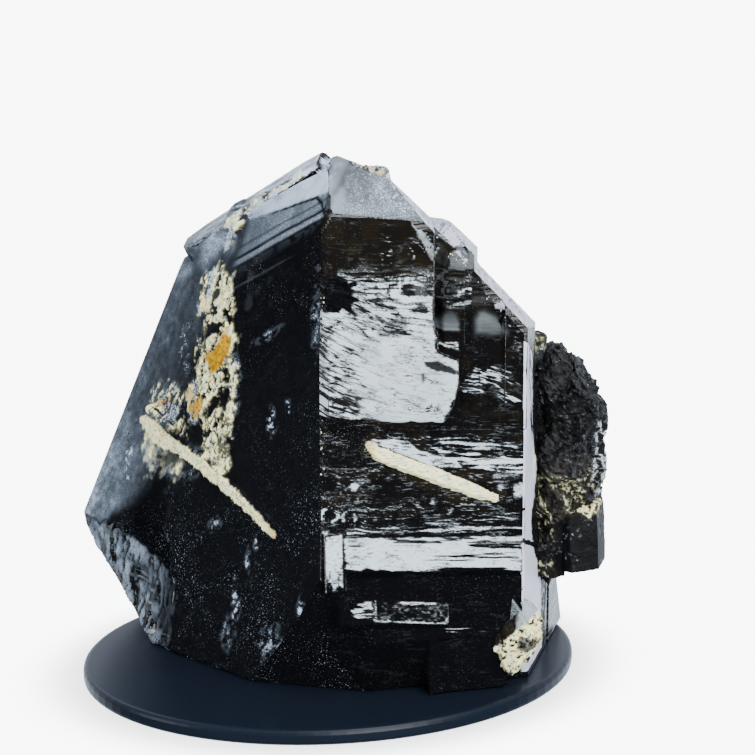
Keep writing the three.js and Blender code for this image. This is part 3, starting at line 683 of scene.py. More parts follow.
    # the chip: pale broken rings round dark middles
    for x, y, radius, strength in frontRings:
        around = np.hypot(across - x, (line - y) / 0.95) + 0.5 * (fine - 0.5)
        turn = np.arctan2(line - y, across - x)
        arcs = eased(0.40 - np.abs(around - radius), 0, 0.2) * eased(np.cos(turn * 2 + 0.5), -0.8, 0.0)
        bright = bright * eased(around, 0.9 * radius, radius + 0.4)
        bright = np.maximum(bright, strength * arcs * eased(speckle, 0.24, 0.36))
        bright = np.maximum(bright, 0.4 * eased(0.4 * radius - around, 0, 0.3) * eased(fine, 0.45, 0.6))
    plain = np.maximum(upper * (1 - 0.75 * rough), 0.5 * level)
    return np.clip(bright, 0, 1), flow, streaks, fine, clouds, speckle, plain


def softPatch(across, line, outline, width):
    # 1 well inside an outline, falling off smoothly towards its border over the given width.
    return eased(insideDistance(across, line, outline), -0.15 * width, width)


def recessTone(across, line, fine, clouds, speckle):
    # The growth blocks in the recess: soft grey hollows, pale facets and striped block fronts, their greys and
    # pale tones painted light, shade and reflection on the black crystal. It gives the brightness and where that
    # is smooth, without grain.
    def patch(name, ragged, seed, cell=(1.0, 1.0)):
        # 1 inside one of the face's outlines and 0 outside, with a ragged edge.
        return patchMask(across, line, frontPatches[name], ragged, seed, cell)

    stripes = eased(0.5 * fine + 0.5 * layeredNoise(across / 5, line / 0.6, 91, 4), 0.47, 0.58)
    front = eased(across, 22.9, 23.2) * eased(28.0 - across, 0, 0.3)
    front *= eased(line, 28.2, 29) * eased(35.6 - line, 0, 1)
    tone = (0.30 + 0.25 * eased(clouds, 0.45, 0.6)) * stripes * front
    tone = np.maximum(tone, 0.85 * patch("whiteSpot", 0.5, 92) * eased(fine, 0.35, 0.5))
    tone = np.maximum(tone, 0.85 * patch("smallPatch", 0.25, 93) * eased(fine, 0.40, 0.52))
    # painted light and shade in the hollows: the left one brightens down to a crisp pale border, and the right
    # one fades down into the dark
    left = softPatch(across, line, frontPatches["hollowLeft"], 0.9) * eased(line, 24.0, 24.2)
    ripples = 0.05 * eased(veins(across / 6, (line + 0.05 * across) / 1.1, 94), 0.84, 0.96)
    grey = 0.05 + 0.15 * eased(28.4 - line, 0, 4.4) + 0.24 * eased(0.30 - np.abs(line - 24.6), 0, 0.3)
    tone = np.maximum(tone, left * (grey + ripples))
    right = softPatch(across, line, frontPatches["hollowRight"], 1.5)
    grey = 0.05 + 0.12 * eased(line, 22.6, 26.5) + 0.07 * eased(30.4 - across, 0, 2.4) + 0.6 * ripples
    tone = np.maximum(tone, right * grey * (0.8 + 0.4 * clouds))
    smooth = np.maximum(left, right)
    bands = 0.16 * eased(layeredNoise(across / 6, line / 0.5, 96, 3), 0.52, 0.66)
    dimmed = eased(across, 27.6, 28.2) * eased(34 - line, 0, 1.5) * (1 - right) * eased(line, 28.4, 29.2)
    tone = np.maximum(tone, bands * dimmed)
    # painted reflections on the facets: pale ones and a dark navy one
    for name, strength, seed in (("wedge", 0.62, 97), ("paleTop", 0.34, 98), ("paleFacet", 0.30, 99),
                                 ("navy", 0.035, 100)):
        mask = patch(name, 0.35, seed)
        shade = strength * (0.8 + 0.9 * (clouds - 0.5) + 0.5 * (fine - 0.5))
        tone = np.maximum(tone, mask * shade)
        smooth = np.maximum(smooth, 0.6 * mask)
    cracks = eased(veins(across / 2.4, line / 2.4, 101), 0.93, 0.985) * eased(line, 36.5, 38)
    tone *= 1 - 0.95 * cracks
    rims = eased(veins(across / 1.4, (line + across) / 3.0, 103), 0.95, 0.99) * eased(line, 37.4, 38.4)
    tone = np.maximum(tone, 0.75 * rims * (1 - cracks))
    crumbs = patch("edgeCrumbs", 0.9, 102, (0.7, 0.7)) * eased(speckle, 0.50, 0.66)
    return np.maximum(tone, 0.30 * crumbs), smooth


def frontRelief(across, line, base):
    # The tone, partly frost and partly painted reflection, sets the frost, and the crust and the fine relief
    # follow the same noises.
    bright, flow, streaks, fine, clouds, speckle, plain = frontTone(across, line)
    inRecess, smooth = recessTone(across, line, fine, clouds, speckle)
    beyond = eased(across - 20.9 - 0.4 * (clouds - 0.5), 0, 0.4) * eased(line, 20.5, 21)
    beyond = np.maximum(beyond, eased(across - 26.0, 0, 0.3) * eased(line, 18.0, 18.4))
    beyond = np.maximum(beyond, eased(line, 37.2, 38.0) * eased(across, 15.6, 16.2))
    bright = bright * (1 - beyond) + inRecess * beyond
    smooth = smooth * beyond
    barInner = strandDistance(across, line, frontBar) + 0.6 * (fine - 0.5)
    crust = eased(barInner, -0.1, 0.15)
    crack = eased(strandDistance(across, line, frontCrack) + 0.12 * (fine - 0.5), -0.05, 0.06)
    for x, y, r in frontSpots:
        spot = r - np.hypot((across - x) / 1.1, line - y) + 1.6 * (clouds - 0.5) + 0.8 * (speckle - 0.5)
        bright = np.maximum(bright, frontLooks["spots"] * eased(spot, 0.0, 0.8) * (0.5 + speckle))
    bright = bright * (1 - crust) * (1 - 0.95 * crack)
    fill = -frontFill["depth"] * eased(across, frontFill["left"], frontFill["left"] + 1.2)
    fill = np.where((across > 20) & (line < frontFill["top"]), fill, -60)
    fill -= 3.0 * eased(line, frontFill["foot"], frontFill["top"])
    # the two hollows of the solid are filled nearly level, then broken up again
    coreAcross, coreLine, edge, full = chipCore
    core = eased(np.hypot(across - coreAcross, line - coreLine), edge, full)
    x, y, reach, hollow = frontHollows["chip"]
    fill = np.where(np.hypot(across - x, line - y) < reach, -hollow * core, fill)
    x, y, reach, hollow = frontHollows["notch"]
    notch = np.hypot((across - x) / 1.3, line - y) < reach
    dent = insideDistance(across, line, frontPatches["notch"])
    fill = np.where(notch, -0.05 - hollow * eased(dent, 0, 1.2), fill)
    step = (line < frontFill["stepHigh"]) & (line > frontFill["stepLow"])
    step &= np.abs(across - frontFill["step"]) < frontFill["stepHalf"]
    fill = np.where(step, frontFill["stepLift"], fill)
    surface = np.maximum(base, fill)
    lumps = frontHeights["crustLumps"] * layeredNoise(across / 1.1, line / 0.9, 97, 3)
    crumbs = crust * (frontHeights["crust"] + lumps + frontHeights["crustGrit"] * speckle)
    ripple = frontHeights["streaks"] * (streaks - 0.5) + frontHeights["fine"] * (fine - 0.5)
    broad = frontHeights["broad"] * (layeredNoise(across / 9, line / 7, 83, 3) - 0.5)
    jagged = frontHeights["jagged"] * notch * eased(dent, 0, 0.8)
    jagged = jagged * layeredNoise(across / 1.5, line / 1.2, 85, 3)
    lift = surface - base + frontHeights["skin"] + broad + crumbs + ripple * (1 - smooth) + jagged
    share = frontLooks
    below = eased(barInner, -2.6, -0.3) * (1 - crust) * eased(clouds, 0.35, 0.6) * eased(line, -9, -7)
    brown = share["brown"] + share["topBrown"] * eased(line, 30, 34)
    brown += share["cloudBrown"] * eased(clouds, 0.48, 0.7) + share["barBrown"] * below
    notched = eased(dent, -0.1, 0.3)
    brown = np.clip(brown, 0, 1) * (eased(line, -16, -11) * 0.95 + 0.05) * (1 - notched)
    ochre = share["ochre"] * crust * eased(10.3 - across, 0, 1.6) * eased(line, -1, 1)
    dull = np.clip(1 - share["shine"] * bright + crust, 0, 1)
    grain = np.clip(share["grain"] - share["plainGrain"] * plain, 0, 1) * (1 - smooth)
    # hairs and dust lie mostly on the sheets and the middle, and hardly on the dark top and foot
    sheets = eased(bright, 0.1, 0.4)
    middle = eased(line, -20, -15) * eased(10 - line, 0, 3)
    plainHair = 0.06 + 0.16 * eased(line, -21, -18)
    hair = (1 - smooth) * (1 - 0.8 * crust) * (1 - notched) * np.clip(plainHair + 0.4 * middle + sheets, 0, 1)
    dust = 0.10 + 0.5 * middle * eased(14 - across, 0, 14) + 0.25 * eased(2.5 - across, 0, 2.5)
    # the frost here is partly real frost and partly painted reflection of the pale sheets
    frost = share["frost"] * bright
    return lift, looksArray(across, frost, crust, ochre, brown, dull, grain, hair, dust), flow


dressFace("front_face", "front", frontShape, frontRelief, striped)

leftShape = {
    "outline": [(-0.4, 50.4), (-3.2, 54.8), (-12, 54.7), (-22, 55.1), (-27, 54.4), (-32, 53.4), (-40, 55.5),
                (-62, 52), (-70, 20), (-66, -14), (-40, -44), (-14, -34), (-6, -28), (0.2, -22), (-0.4, 0)],
    "slope": edgeSlope("left", "leftTip"),
    "spacing": (0.28, 0.28),
    "floor": -26,
    "depth": 20,
    "rounding": 6,
    "thickness": 0.10,
}
leftBar = [(-48.8, 26.2, 0.9), (-46.0, 23.7, 1.7), (-43.3, 21.2, 1.9), (-40.6, 19.0, 1.5), (-36.6, 16.6, 1.2),
           (-32.4, 12.9, 1.15), (-28.4, 9.0, 1.15), (-24.4, 5.0, 1.1), (-20.4, 0.6, 1.0), (-16.5, -3.8, 0.85),
           (-12.9, -8.1, 0.7), (-11.5, -9.6, 0.4)]
# Outlines on the left face: places to the right, and growth lines counted up.
leftPatches = {
    "body": [(-30.6, 46.6), (-28.4, 46.8), (-23.1, 43.8), (-21.5, 40.0), (-21.1, 32.3), (-21.6, 29.0),
             (-23.2, 25.0), (-25.2, 22.4), (-27.1, 21.7), (-28.5, 18.7), (-32.0, 18.3), (-33.7, 20.6),
             (-34.8, 24.5), (-33.4, 28.4), (-30.4, 31.5), (-29.4, 34.5), (-30.9, 38.6), (-31.4, 41.9)],
    "scaly": [(-32.6, 35.6), (-29.6, 35.4), (-28.9, 31.7), (-30.4, 29.0), (-32.6, 29.6), (-33.4, 32.9)],
    "limb": [(-23.8, 27.6), (-21.6, 27.4), (-21.0, 21.9), (-21.6, 17.9), (-22.6, 13.4), (-25.4, 14.1),
             (-25.0, 17.6), (-23.8, 20.2), (-23.2, 22.6)],
    "between": [(-27.1, 21.9), (-24.2, 22.2), (-24.6, 17.6), (-25.6, 14.4), (-29.9, 15.6), (-28.4, 19.9)],
    "chalky": [(-29.3, 15.2), (-24.2, 14.4), (-23.6, 10.5), (-23.0, 6.6), (-25.2, 6.6), (-27.4, 8.6),
               (-30.2, 11.6), (-30.6, 13.8)],
    "ochreHigh": [(-24.4, 34.2), (-22.2, 32.4), (-22.2, 29.6), (-24.3, 27.6), (-27.6, 27.9), (-28.5, 30.2),
                  (-26.4, 31.8)],
    "ochreLow": [(-31.9, 24.4), (-28.5, 23.6), (-28.1, 21.0), (-29.8, 19.2), (-32.5, 20.1), (-33.3, 22.5)],
    "ochreLeft": [(-34.8, 26.8), (-31.8, 26.3), (-31.9, 24.5), (-34.3, 24.5)],
    "ochreSide": [(-41.6, 27.6), (-38.6, 26.6), (-38.2, 23.9), (-40.9, 24.9)],
    "side": [(-46.8, 30.9), (-41.4, 31.6), (-36.0, 29.0), (-34.6, 23.4), (-33.8, 17.4), (-37.6, 19.4),
             (-43.4, 26.2)],
    "smear": [(-48.6, 24.6), (-43.2, 20.6), (-38.2, 17.0), (-34.7, 13.2), (-36.0, 10.6), (-39.4, 9.4),
              (-41.2, 13.4), (-42.4, 16.8), (-45.6, 13.6), (-48.9, 14.6), (-49.6, 19.6)],
    "gap": [(-42.0, 16.6), (-39.6, 17.2), (-36.8, 15.2), (-36.4, 13.8), (-38.4, 13.4), (-40.6, 14.4)],
    "broken": [(-72, 16), (-62.5, 10.4), (-56, 7.4), (-50.5, 3.0), (-47.0, -1.0), (-42.0, -5.5), (-37.6, -9.4),
               (-37.0, -13.5), (-39, -20), (-42, -26), (-44, -34), (-52, -40), (-72, -30)],
}
leftSeam = [(-27.6, 45.8, 0.7), (-28.1, 47.4, 0.9), (-27.0, 48.9, 1.0), (-25.4, 50.2, 1.1), (-24.2, 51.6, 1.2),
            (-22.0, 53.0, 1.2), (-20.0, 54.0, 0.8)]
leftCrestEdge = [(-15.5, 51.8, 0.1), (-11.0, 51.1, 0.22), (-8.3, 50.7, 0.28), (-3.7, 49.9, 0.34),
                 (-2.2, 48.3, 0.3), (-0.8, 46.0, 0.2)]
leftSmears = [
    # pale mottled places: to the right, growth line, wide, high, strength
    (-36, 34, 4, 9, 0.30), (-21.4, 24, 1.6, 9, 0.55), (-33, 13, 5, 5, 0.35), (-53.0, 19, 2.4, 7.0, 0.60),
    (-12.4, 12.5, 1.6, 3.0, 0.75), (-8.6, 13.5, 0.9, 2.4, 0.80), (-21.6, -20, 1.5, 7, 0.60),
    (-18.6, -13, 1.3, 4, 0.70), (-16.0, -9, 1.4, 2, 0.60), (-13, -30, 3, 5, 0.45), (-5.0, -26.5, 1.6, 4.2, 0.75),
    (-24, -24, 2.0, 6, 0.35), (-1.6, 27, 1.6, 9, 0.40), (-13.5, 29, 4.0, 1.2, 0.35), (-27, -2, 2.4, 2, 0.45),
]
# Ochre stains: outline, strength, and the distances inside it where the stain sets in and is full.
leftStains = [("ochreHigh", 1.0, -0.6, 0.9), ("ochreLow", 0.9, -0.5, 0.8), ("ochreLeft", 0.6, -0.4, 0.8),
              ("ochreSide", 0.9, -0.5, 0.6)]
# How strong the parts of its crust, stains, film, painted sheen and ledge reflections are, from 0 to 1.
leftLooks = {"limb": 0.95, "flecked": 0.80, "smear": 0.85, "chalky": 0.9, "stained": 0.95, "threads": 0.6,
             "tinge": 0.22, "warmBar": 0.30, "barEnd": 0.6, "softFilm": 0.30, "holes": 0.97, "sheenAndScar": 0.003,
             "away": 0.15, "border": 0.09, "upperSheen": 0.030, "upperLedge": 0.34, "lowerLedge": 0.38,
             "darkLine": 0.20, "wall": 0.50, "lowLine": 0.12, "lowBand": 0.05, "crest": 0.34, "crestEnd": 0.20,
             "crestEdge": 0.92, "scoop": 0.95, "rim": 0.8, "seam": 0.85, "seamFilm": 0.6, "wateryFilm": 0.85,
             "watery": 0.80}
# Heights of the skin's relief in millimetres.
leftHeights = {"skin": 0.06, "broad": 0.06, "fine": 0.012, "grit": 0.02, "crust": 0.12, "crustFine": 0.34,
               "crustGrit": 0.20, "fibres": 0.5, "lumps": 1.2, "brokenFine": 0.25, "gashes": 0.25, "rim": 0.35}


def leftRelief(across, line, base):
    # Black with fine dust and mottled smears, and a painted blue-grey sheen towards its left border. The crust
    # fills its outlines, ragged and broken by pits, pale bands of painted reflection lie along the ledges, and
    # the broken corner has lumps, fibres that run down it, and dark gashes.
    clouds = layeredNoise(across / 2.6, line / 2.6, 131, 4)
    grit = softNoise(across / 0.33, line / 0.33, 137)
    fine = layeredNoise(across / 0.9, line / 0.9, 139, 3)
    wide = layeredNoise(across / 8, line / 8, 141, 3)
    torn = 4.2 * (clouds - 0.5) + 2.2 * (fine - 0.5)

    def patch(name, low=-0.6, high=0.9):
        # 1 inside one of the face's outlines and 0 outside, torn by noise at its edge.
        return eased(insideDistance(across, line, leftPatches[name]) + torn, low, high)

    # the crust: full inside its outlines, cut by black pits and by crevices that run up and to the right
    pits = eased(layeredNoise(across / 1.2, line / 1.7, 147, 3) + 0.2 * (grit - 0.5), 0.37, 0.43)
    crevices = eased(veins((across - 0.3 * line) / 1.3, (line + 0.3 * across) / 3.0, 149, 3), 0.90, 0.97)
    crumbly = eased(layeredNoise((across - 0.3 * line) / 0.8, line / 1.5, 150, 3), 0.44, 0.52)
    low = eased(30 - line, 0, 6)
    limb = patch("limb", -0.3, 0.6) * (0.4 + 0.6 * pits) * (1 - 0.7 * crevices)
    flecked = np.maximum.reduce([patch("side", -0.6, 1.2), patch("scaly"), patch("between")])
    soft = patch("smear", -0.6, 2.2) * (1 - 0.9 * patch("gap", -0.4, 0.8))
    chalky = patch("chalky", -0.3, 0.8) * (0.6 + 0.4 * pits) * (1 - 0.8 * crevices)
    stained = np.maximum(patch("ochreHigh", -0.2, 1.0), patch("ochreLow", -0.2, 1.0))
    threads = eased(veins((across - 0.2 * line) / 0.8, line / 1.4, 155, 2), 0.90, 0.98)
    share = leftLooks
    crust = np.maximum.reduce([
        patch("body") * pits * (1 - (0.55 + 0.4 * low) * crevices),
        share["limb"] * limb,
        share["flecked"] * flecked * crumbly * (1 - crevices),
        share["smear"] * soft * eased(clouds + 0.5 * fine, 0.55, 0.95),
        share["chalky"] * chalky,
        share["stained"] * stained * (1 - 0.5 * crevices)])
    crust *= 1 - share["threads"] * threads * (1 - 0.7 * stained)
    stains = [strength * patch(name, outer, inner) for name, strength, outer, inner in leftStains]
    ochre = np.maximum.reduce(stains)
    tinge = eased(0.5 * wide + 0.5 * clouds + 0.4 * (fine - 0.5), 0.46, 0.60)
    ochre = np.maximum(ochre, share["tinge"] * patch("body", 0.2, 2.0) * tinge)
    barInner = strandDistance(across, line, leftBar) + 0.7 * (fine - 0.5) + 0.35 * (grit - 0.5)
    bar = eased(barInner, -0.1, 0.3)
    warm = share["warmBar"] * eased(-across, 34, 38) * eased(45 + across, 0, 3) + 0.05
    ochre = ochre * (1 - bar) + warm * bar * eased(clouds, 0.40, 0.60)
    ochre += share["barEnd"] * bar * eased(across, -14, -11.5)
    crust = np.maximum(crust, bar)
    smear = np.zeros(across.shape)
    for x, y, width, height, strength in leftSmears:
        blob = 1 - np.hypot((across - x) / width, (line - y) / height)
        smear = np.maximum(smear, strength * eased(blob + 1.2 * (clouds - 0.5), 0.0, 0.8))
    film = smear * eased(fine + 0.35 * (grit - 0.5), 0.44, 0.64)
    film = np.maximum(film, share["softFilm"] * soft * (0.4 + 1.2 * clouds))
    hole = eased(1 - np.hypot((across + 31.5) / 1.3, (line - 17.4) / 2.3) + 0.8 * (fine - 0.5), 0, 0.3)
    hole = np.maximum(hole, eased(1 - np.hypot((across + 26.6) / 1.5, (line - 42.0) / 1.2), 0, 0.3))
    film, crust = film * (1 - hole), crust * (1 - share["holes"] * hole * (1 - bar))
    # a mottled painted blue-grey sheen towards the left border, brightest close to it
    inward = across + 34 + 0.836 * (52.8 - line)
    away = eased(24 + 6 * (wide - 0.5) - inward, 0, 16) * eased(line, -12, 10)
    border = eased(6 + 3 * (clouds - 0.5) - inward, 0, 6) * eased(line, 0, 14)
    mottled = np.clip(0.75 + 0.7 * (clouds - 0.5) + 0.8 * (fine - 0.5), 0.1, 1.4)
    sheenAndScar = share["sheenAndScar"] + share["away"] * away + share["border"] * border
    sheenAndScar *= mottled * (0.8 + 1.3 * eased(32 - line, 0, 16))
    sheenAndScar += share["upperSheen"] * eased(-across, 10, 16) * eased(line, 6, 16) * eased(wide + clouds, 1.0, 1.25)
    # painted reflections on the ledges at the top: pale bands, with dark lines between them
    wander = 0.4 * (layeredNoise(across / 7, line / 5, 143, 3) - 0.5)
    level = line + wander
    ledge = share["upperLedge"] * eased(level, 46.9, 47.2)
    ledge += share["lowerLedge"] * eased(level, 45.2, 45.7) * eased(46.6 - level, 0, 0.2)
    ledge -= share["darkLine"] * eased(0.26 - np.abs(level - 48.6), 0, 0.2) + 0.06 * eased(fine, 0.5, 0.7)
    ledge *= eased(across - 0.4 * (line - 46), -24.5, -21.5)
    ledge += share["wall"] * eased(line, 46.6, 50.6) * eased(-across, 22, 25) * (0.4 + 1.2 * clouds)
    lowLine = eased(0.30 - np.abs(level - 41.2), 0, 0.3) * eased(-across, 6, 12) * eased(across, -27, -22)
    ledge += share["lowLine"] * lowLine + share["lowBand"] * eased(level, 42.8, 44.8) * (level < 44.9)
    crest = share["crest"] + share["crestEnd"] * eased(across, -22, -19)
    ledge += crest * eased(line + 0.16 * (across + 8.3), 50.6, 51.3)
    ledge *= (0.8 + 0.7 * (clouds - 0.5) + 0.3 * (fine - 0.5)) * eased(-across, 0.4, 1.6)
    crestEdge = strandDistance(across, line, leftCrestEdge) + 0.2 * (fine - 0.5)
    ledge *= 1 - share["crestEdge"] * eased(crestEdge, -0.05, 0.15)
    sheenAndScar = np.maximum(sheenAndScar, (1 - 0.3 * eased(24 - inward, 0, 10)) * np.clip(ledge, 0, 1))
    # the broken corner, and its hollow, where the painted sheen is left out so that it stays black beyond the
    # broken patch
    withinBreak = insideDistance(across, line, leftPatches["broken"])
    broken = eased(withinBreak + 2.4 * (clouds - 0.5), -0.1, 0.5)
    scoop = eased(-base + 2.5 * (clouds - 0.5), 0.0, 1.2) * eased(13 - line + 5 * (wide - 0.5), 0, 4)
    scoop = scoop * (1 - broken)
    sheenAndScar *= 1 - share["scoop"] * scoop
    down = line + 0.5 * across
    lumps = layeredNoise((across + 0.3 * line) / 1.8, down / 4.2, 153, 4)
    bend = 2.4 * (clouds - 0.5) + 1.6 * (wide - 0.5)
    fibres = layeredNoise((across - 0.25 * line) / 0.75 + bend, down / 2.4, 151, 4)
    gashes = eased(0.44 - fibres, 0, 0.05) * eased(lumps, 0.40, 0.52)
    scar = 0.06 + 0.20 * eased(lumps, 0.40, 0.60) * eased(-across, 39, 47) + 0.10 * (fine - 0.5)
    scar += 0.12 * eased(fibres, 0.48, 0.62) - 0.22 * gashes
    scar += 0.20 * eased(grit, 0.90, 0.97) * eased(clouds, 0.5, 0.6)
    scar *= 0.30 + 0.70 * eased(-across, 38, 47)
    sheenAndScar = sheenAndScar * (1 - broken) + broken * np.clip(scar, 0.004, 1)
    rim = eased(0.5 - np.abs(withinBreak + 1.8 * (clouds - 0.5)), 0, 0.5)
    sheenAndScar *= 1 - share["rim"] * rim
    crust, film = crust * (1 - broken), film * (1 - broken)
    seam = eased(strandDistance(across, line, leftSeam) + 0.7 * torn, 0, 0.6)
    white = eased(52.6 - line, 0, 2)
    crust = np.maximum(crust, (share["seam"] - 0.5 * white) * seam * pits)
    sheenAndScar = np.maximum(sheenAndScar * (1 - 0.8 * seam), share["seamFilm"] * seam * white * crumbly)
    # watery places: the crust thins to a whitish film, most of all high up and along its left side
    fringe = np.maximum(eased(line, 35, 41), 0.8 * eased(-across, 29.5, 31.5))
    watery = eased(layeredNoise(across / 1.8, line / 2.6, 157, 3), 0.46, 0.60) * (0.35 + 0.65 * fringe)
    watery = watery * (1 - bar) * (1 - stained)
    film = np.maximum(film, share["wateryFilm"] * crust * watery)
    crust = crust * (1 - share["watery"] * watery)
    frost = np.maximum(sheenAndScar, film * (1 - crust))
    high = leftHeights
    lift = high["skin"] + high["broad"] * (wide - 0.5) + high["fine"] * fine
    lift += high["grit"] * grit * (1 - broken)
    lift += crust * (high["crust"] + high["crustFine"] * fine + high["crustGrit"] * grit) * (1 - 0.55 * bar)
    rough = high["fibres"] * (fibres - 0.5) + high["lumps"] * (lumps - 0.5)
    rough += high["brokenFine"] * (fine - 0.5) - high["gashes"] * gashes
    lift += broken * rough - high["rim"] * rim * broken
    grain = 0.35 + 0.5 * eased(film, 0.02, 0.2) + 0.4 * crust * (1 - bar) - 0.10 * broken - 0.8 * soft
    dull = np.clip(1.0 + 0.2 * (clouds - 0.5) + scoop, 0, 1)
    dust = (0.30 + 0.70 * eased(wide, 0.40, 0.60)) * (0.45 + 0.55 * eased(20 - line, 0, 25))
    dust *= 1 - 0.8 * broken
    brown = 0.12 * eased(clouds, 0.5, 0.7)
    return lift, looksArray(across, frost, crust, ochre, brown, dull, np.clip(grain, 0, 1), dust=dust), line


dressFace("left_face", "left", leftShape, leftRelief, blueSheenAndFilm)

tipShapes = {
    "frontTip": {"outline": [(-2, 32), (20, 32), (20, 50), (-2, 50)], "slope": 0, "spacing": (0.17, 0.17),
                 "floor": -0.25, "fade": 0.1, "depth": 9},
    "leftTip": {"outline": [(-70, -30), (-1, -30), (-1, 60), (-70, 60)], "slope": edgeSlope("leftTip", "left"),
                "spacing": (0.30, 0.30), "floor": -0.8, "fade": 0.1, "depth": 12},
    "rightTip": {"outline": [(2, -14), (60, -14), (60, 45), (2, 45)], "slope": 0, "spacing": (0.34, 0.34),
                 "floor": -0.35, "fade": 0.1, "depth": 12},
}
tipRough = [(8.0, 45.2, 0.7), (10.4, 44.2, 1.2), (12.6, 43.2, 1.0)]
leftTipSeam = [(-8.4, 34.6, 0.7), (-10.9, 30.9, 1.3), (-13.2, 28.4, 1.5), (-15.6, 25.7, 1.7), (-17.8, 22.0, 1.5),
               (-19.4, 18.1, 1.1), (-21.4, 16.3, 0.9)]

# How strong each marking is, as shares from 0 to 1, and the heights of the relief in millimetres.
frontTipLooks = {"frost": 0.25, "clouds": 0.34, "fine": 0.10, "strip": 0.13, "specks": 0.34, "border": 0.42,
                 "streaks": 0.20, "crown": 0.06, "edge": 0.12, "mostFrost": 0.9, "roughFrost": 0.40,
                 "crust": 0.45, "ochre": 0.15, "brown": 0.6, "dull": 0.7, "grain": 0.45, "skin": 0.04,
                 "grit": 0.03, "ripple": 0.02, "lumps": 0.25}


def frontTipRelief(across, line, base):
    # A frosted face: even fine pits and pale specks at its right, and a smooth darker strip that slants up
    # through its left part, with a pale border along the left edge.
    clouds = layeredNoise(across / 3.0, line / 3.0, 201, 4)
    grit = softNoise(across / 0.26, line / 0.26, 203)
    fine = softNoise(across / 0.17, line / 0.17, 205)
    slant = across - 0.75 * (line - 34) + 1.6 * (clouds - 0.5)
    streaks = layeredNoise(slant / 1.2, (line + across) / 6, 206, 4)
    smooth = eased(6.5 - across + 0.4 * (line - 40) + 2 * (clouds - 0.5), 0, 2.5)
    rough = eased(strandDistance(across, line, tipRough) + 2.6 * (clouds - 0.5), 0, 0.7)
    dark = eased(layeredNoise(across / 0.9, line / 0.7, 209, 3), 0.50, 0.58)
    band = eased(layeredNoise((across + line) / 3, (line - across) / 8, 208, 3), 0.44, 0.6)
    specks = eased(grit, 0.68, 0.84) * (1 - smooth) * (0.3 + 0.7 * band)
    strip = eased(1.5 - np.abs(slant + 1.0), 0, 1.6) * eased(line, 35.4, 38)
    border = eased(1.2 + 0.06 * (line - 34) - across + 1.2 * (clouds - 0.5), 0, 0.8)
    edge = eased(0.30 - np.abs(line - 34.35 - 0.1 * clouds), 0, 0.3)
    share = frontTipLooks
    frost = share["frost"] + share["clouds"] * (clouds - 0.5) + share["fine"] * (fine - 0.5) * (1 - smooth)
    frost += share["specks"] * specks + share["border"] * border - share["strip"] * strip
    frost += share["streaks"] * smooth * eased(streaks, 0.56, 0.70) - share["crown"] * eased(line, 41, 45)
    frost = np.clip(frost + share["edge"] * edge, 0, share["mostFrost"]) * (1 - rough)
    frost += share["roughFrost"] * rough * eased(grit, 0.40, 0.7) * (1 - dark)
    lift = share["skin"] + share["grit"] * grit * (1 - smooth) + share["ripple"] * fine
    lift += share["lumps"] * rough * layeredNoise(across / 0.9, line / 0.9, 207, 3)
    crust = share["crust"] * rough * eased(clouds, 0.4, 0.6) * eased(across, 8.4, 9.4) * (1 - dark)
    ochre, brown, grain = share["ochre"] * rough, share["brown"] * rough, share["grain"] * (1 - smooth)
    return lift, looksArray(across, frost, crust, ochre, brown, share["dull"], grain), line


leftTipLooks = {"frost": 0.46, "risingSheen": 0.34, "clouds": 1.2, "streaks": 0.36, "leastFrost": 0.03,
                "seamFrost": 0.5, "pits": 0.9, "crust": 0.75, "ochre": 0.10, "dull": 0.6, "grain": 0.45,
                "skin": 0.05, "seam": 0.1, "seamFine": 0.6, "pitDepth": 0.3}


def leftTipRelief(across, line, base):
    # A smooth face, pale with painted reflection, with dark smears and a crumbly cream seam near its outer
    # border.
    clouds = layeredNoise(across / 2.4, line / 2.4, 211, 4)
    grit = softNoise(across / 0.34, line / 0.34, 213)
    fine = layeredNoise(across / 0.9, line / 0.9, 214, 3)
    up = line + edgeSlope("leftTip", "left") * across
    seam = strandDistance(across, up, leftTipSeam)
    crumble = eased(seam + 2.6 * (clouds - 0.5), 0, 0.6)
    pits = np.maximum(crumble, 0.35) * eased(0.44 - fine, 0, 0.05)
    streaks = layeredNoise(across / 5, line / 0.8, 215, 4)
    share = leftTipLooks
    crust = crumble * eased(grit, 0.3, 0.6) * (1 - pits) * share["crust"]
    # painted reflection laid on as frost, stronger higher up
    frost = (share["frost"] + share["risingSheen"] * eased(up, 20, 32)) * (0.95 + share["clouds"] * (clouds - 0.5))
    frost = np.maximum(frost - share["streaks"] * eased(streaks, 0.54, 0.64), share["leastFrost"])
    frost = np.maximum(frost, share["seamFrost"] * crumble) * (1 - share["pits"] * pits)
    lift = share["skin"] + crumble * (share["seam"] + share["seamFine"] * fine)
    lift -= share["pitDepth"] * pits * crumble
    looks = looksArray(across, frost, crust, share["ochre"] * crust, 0, share["dull"], share["grain"])
    return lift, looks, line


rightTipLooks = {"frost": 0.50, "clouds": 0.4, "grit": 0.12, "ripples": 0.25, "dull": 0.4, "grain": 0.5,
                 "skin": 0.05, "waves": 0.06}


def rightTipRelief(across, line, base):
    # A pale frosted face with shallow growth ripples.
    clouds = layeredNoise(across / 3, line / 3, 221, 4)
    ripples = veins(across / 5, line / 1.6, 222)
    grit = softNoise(across / 0.36, line / 0.36, 223)
    share = rightTipLooks
    frost = share["frost"] + share["clouds"] * (clouds - 0.5) + share["grit"] * grit
    frost -= share["ripples"] * eased(ripples, 0.9, 0.97)
    looks = looksArray(across, frost, dull=share["dull"], grain=share["grain"])
    return share["skin"] + share["waves"] * clouds, looks, line


for tip, shaped, material in (("frontTip", frontTipRelief, bluish), ("leftTip", leftTipRelief, bluish),
                              ("rightTip", rightTipRelief, lilac)):
    dressFace(tip + "_face", tip, tipShapes[tip], shaped, material)

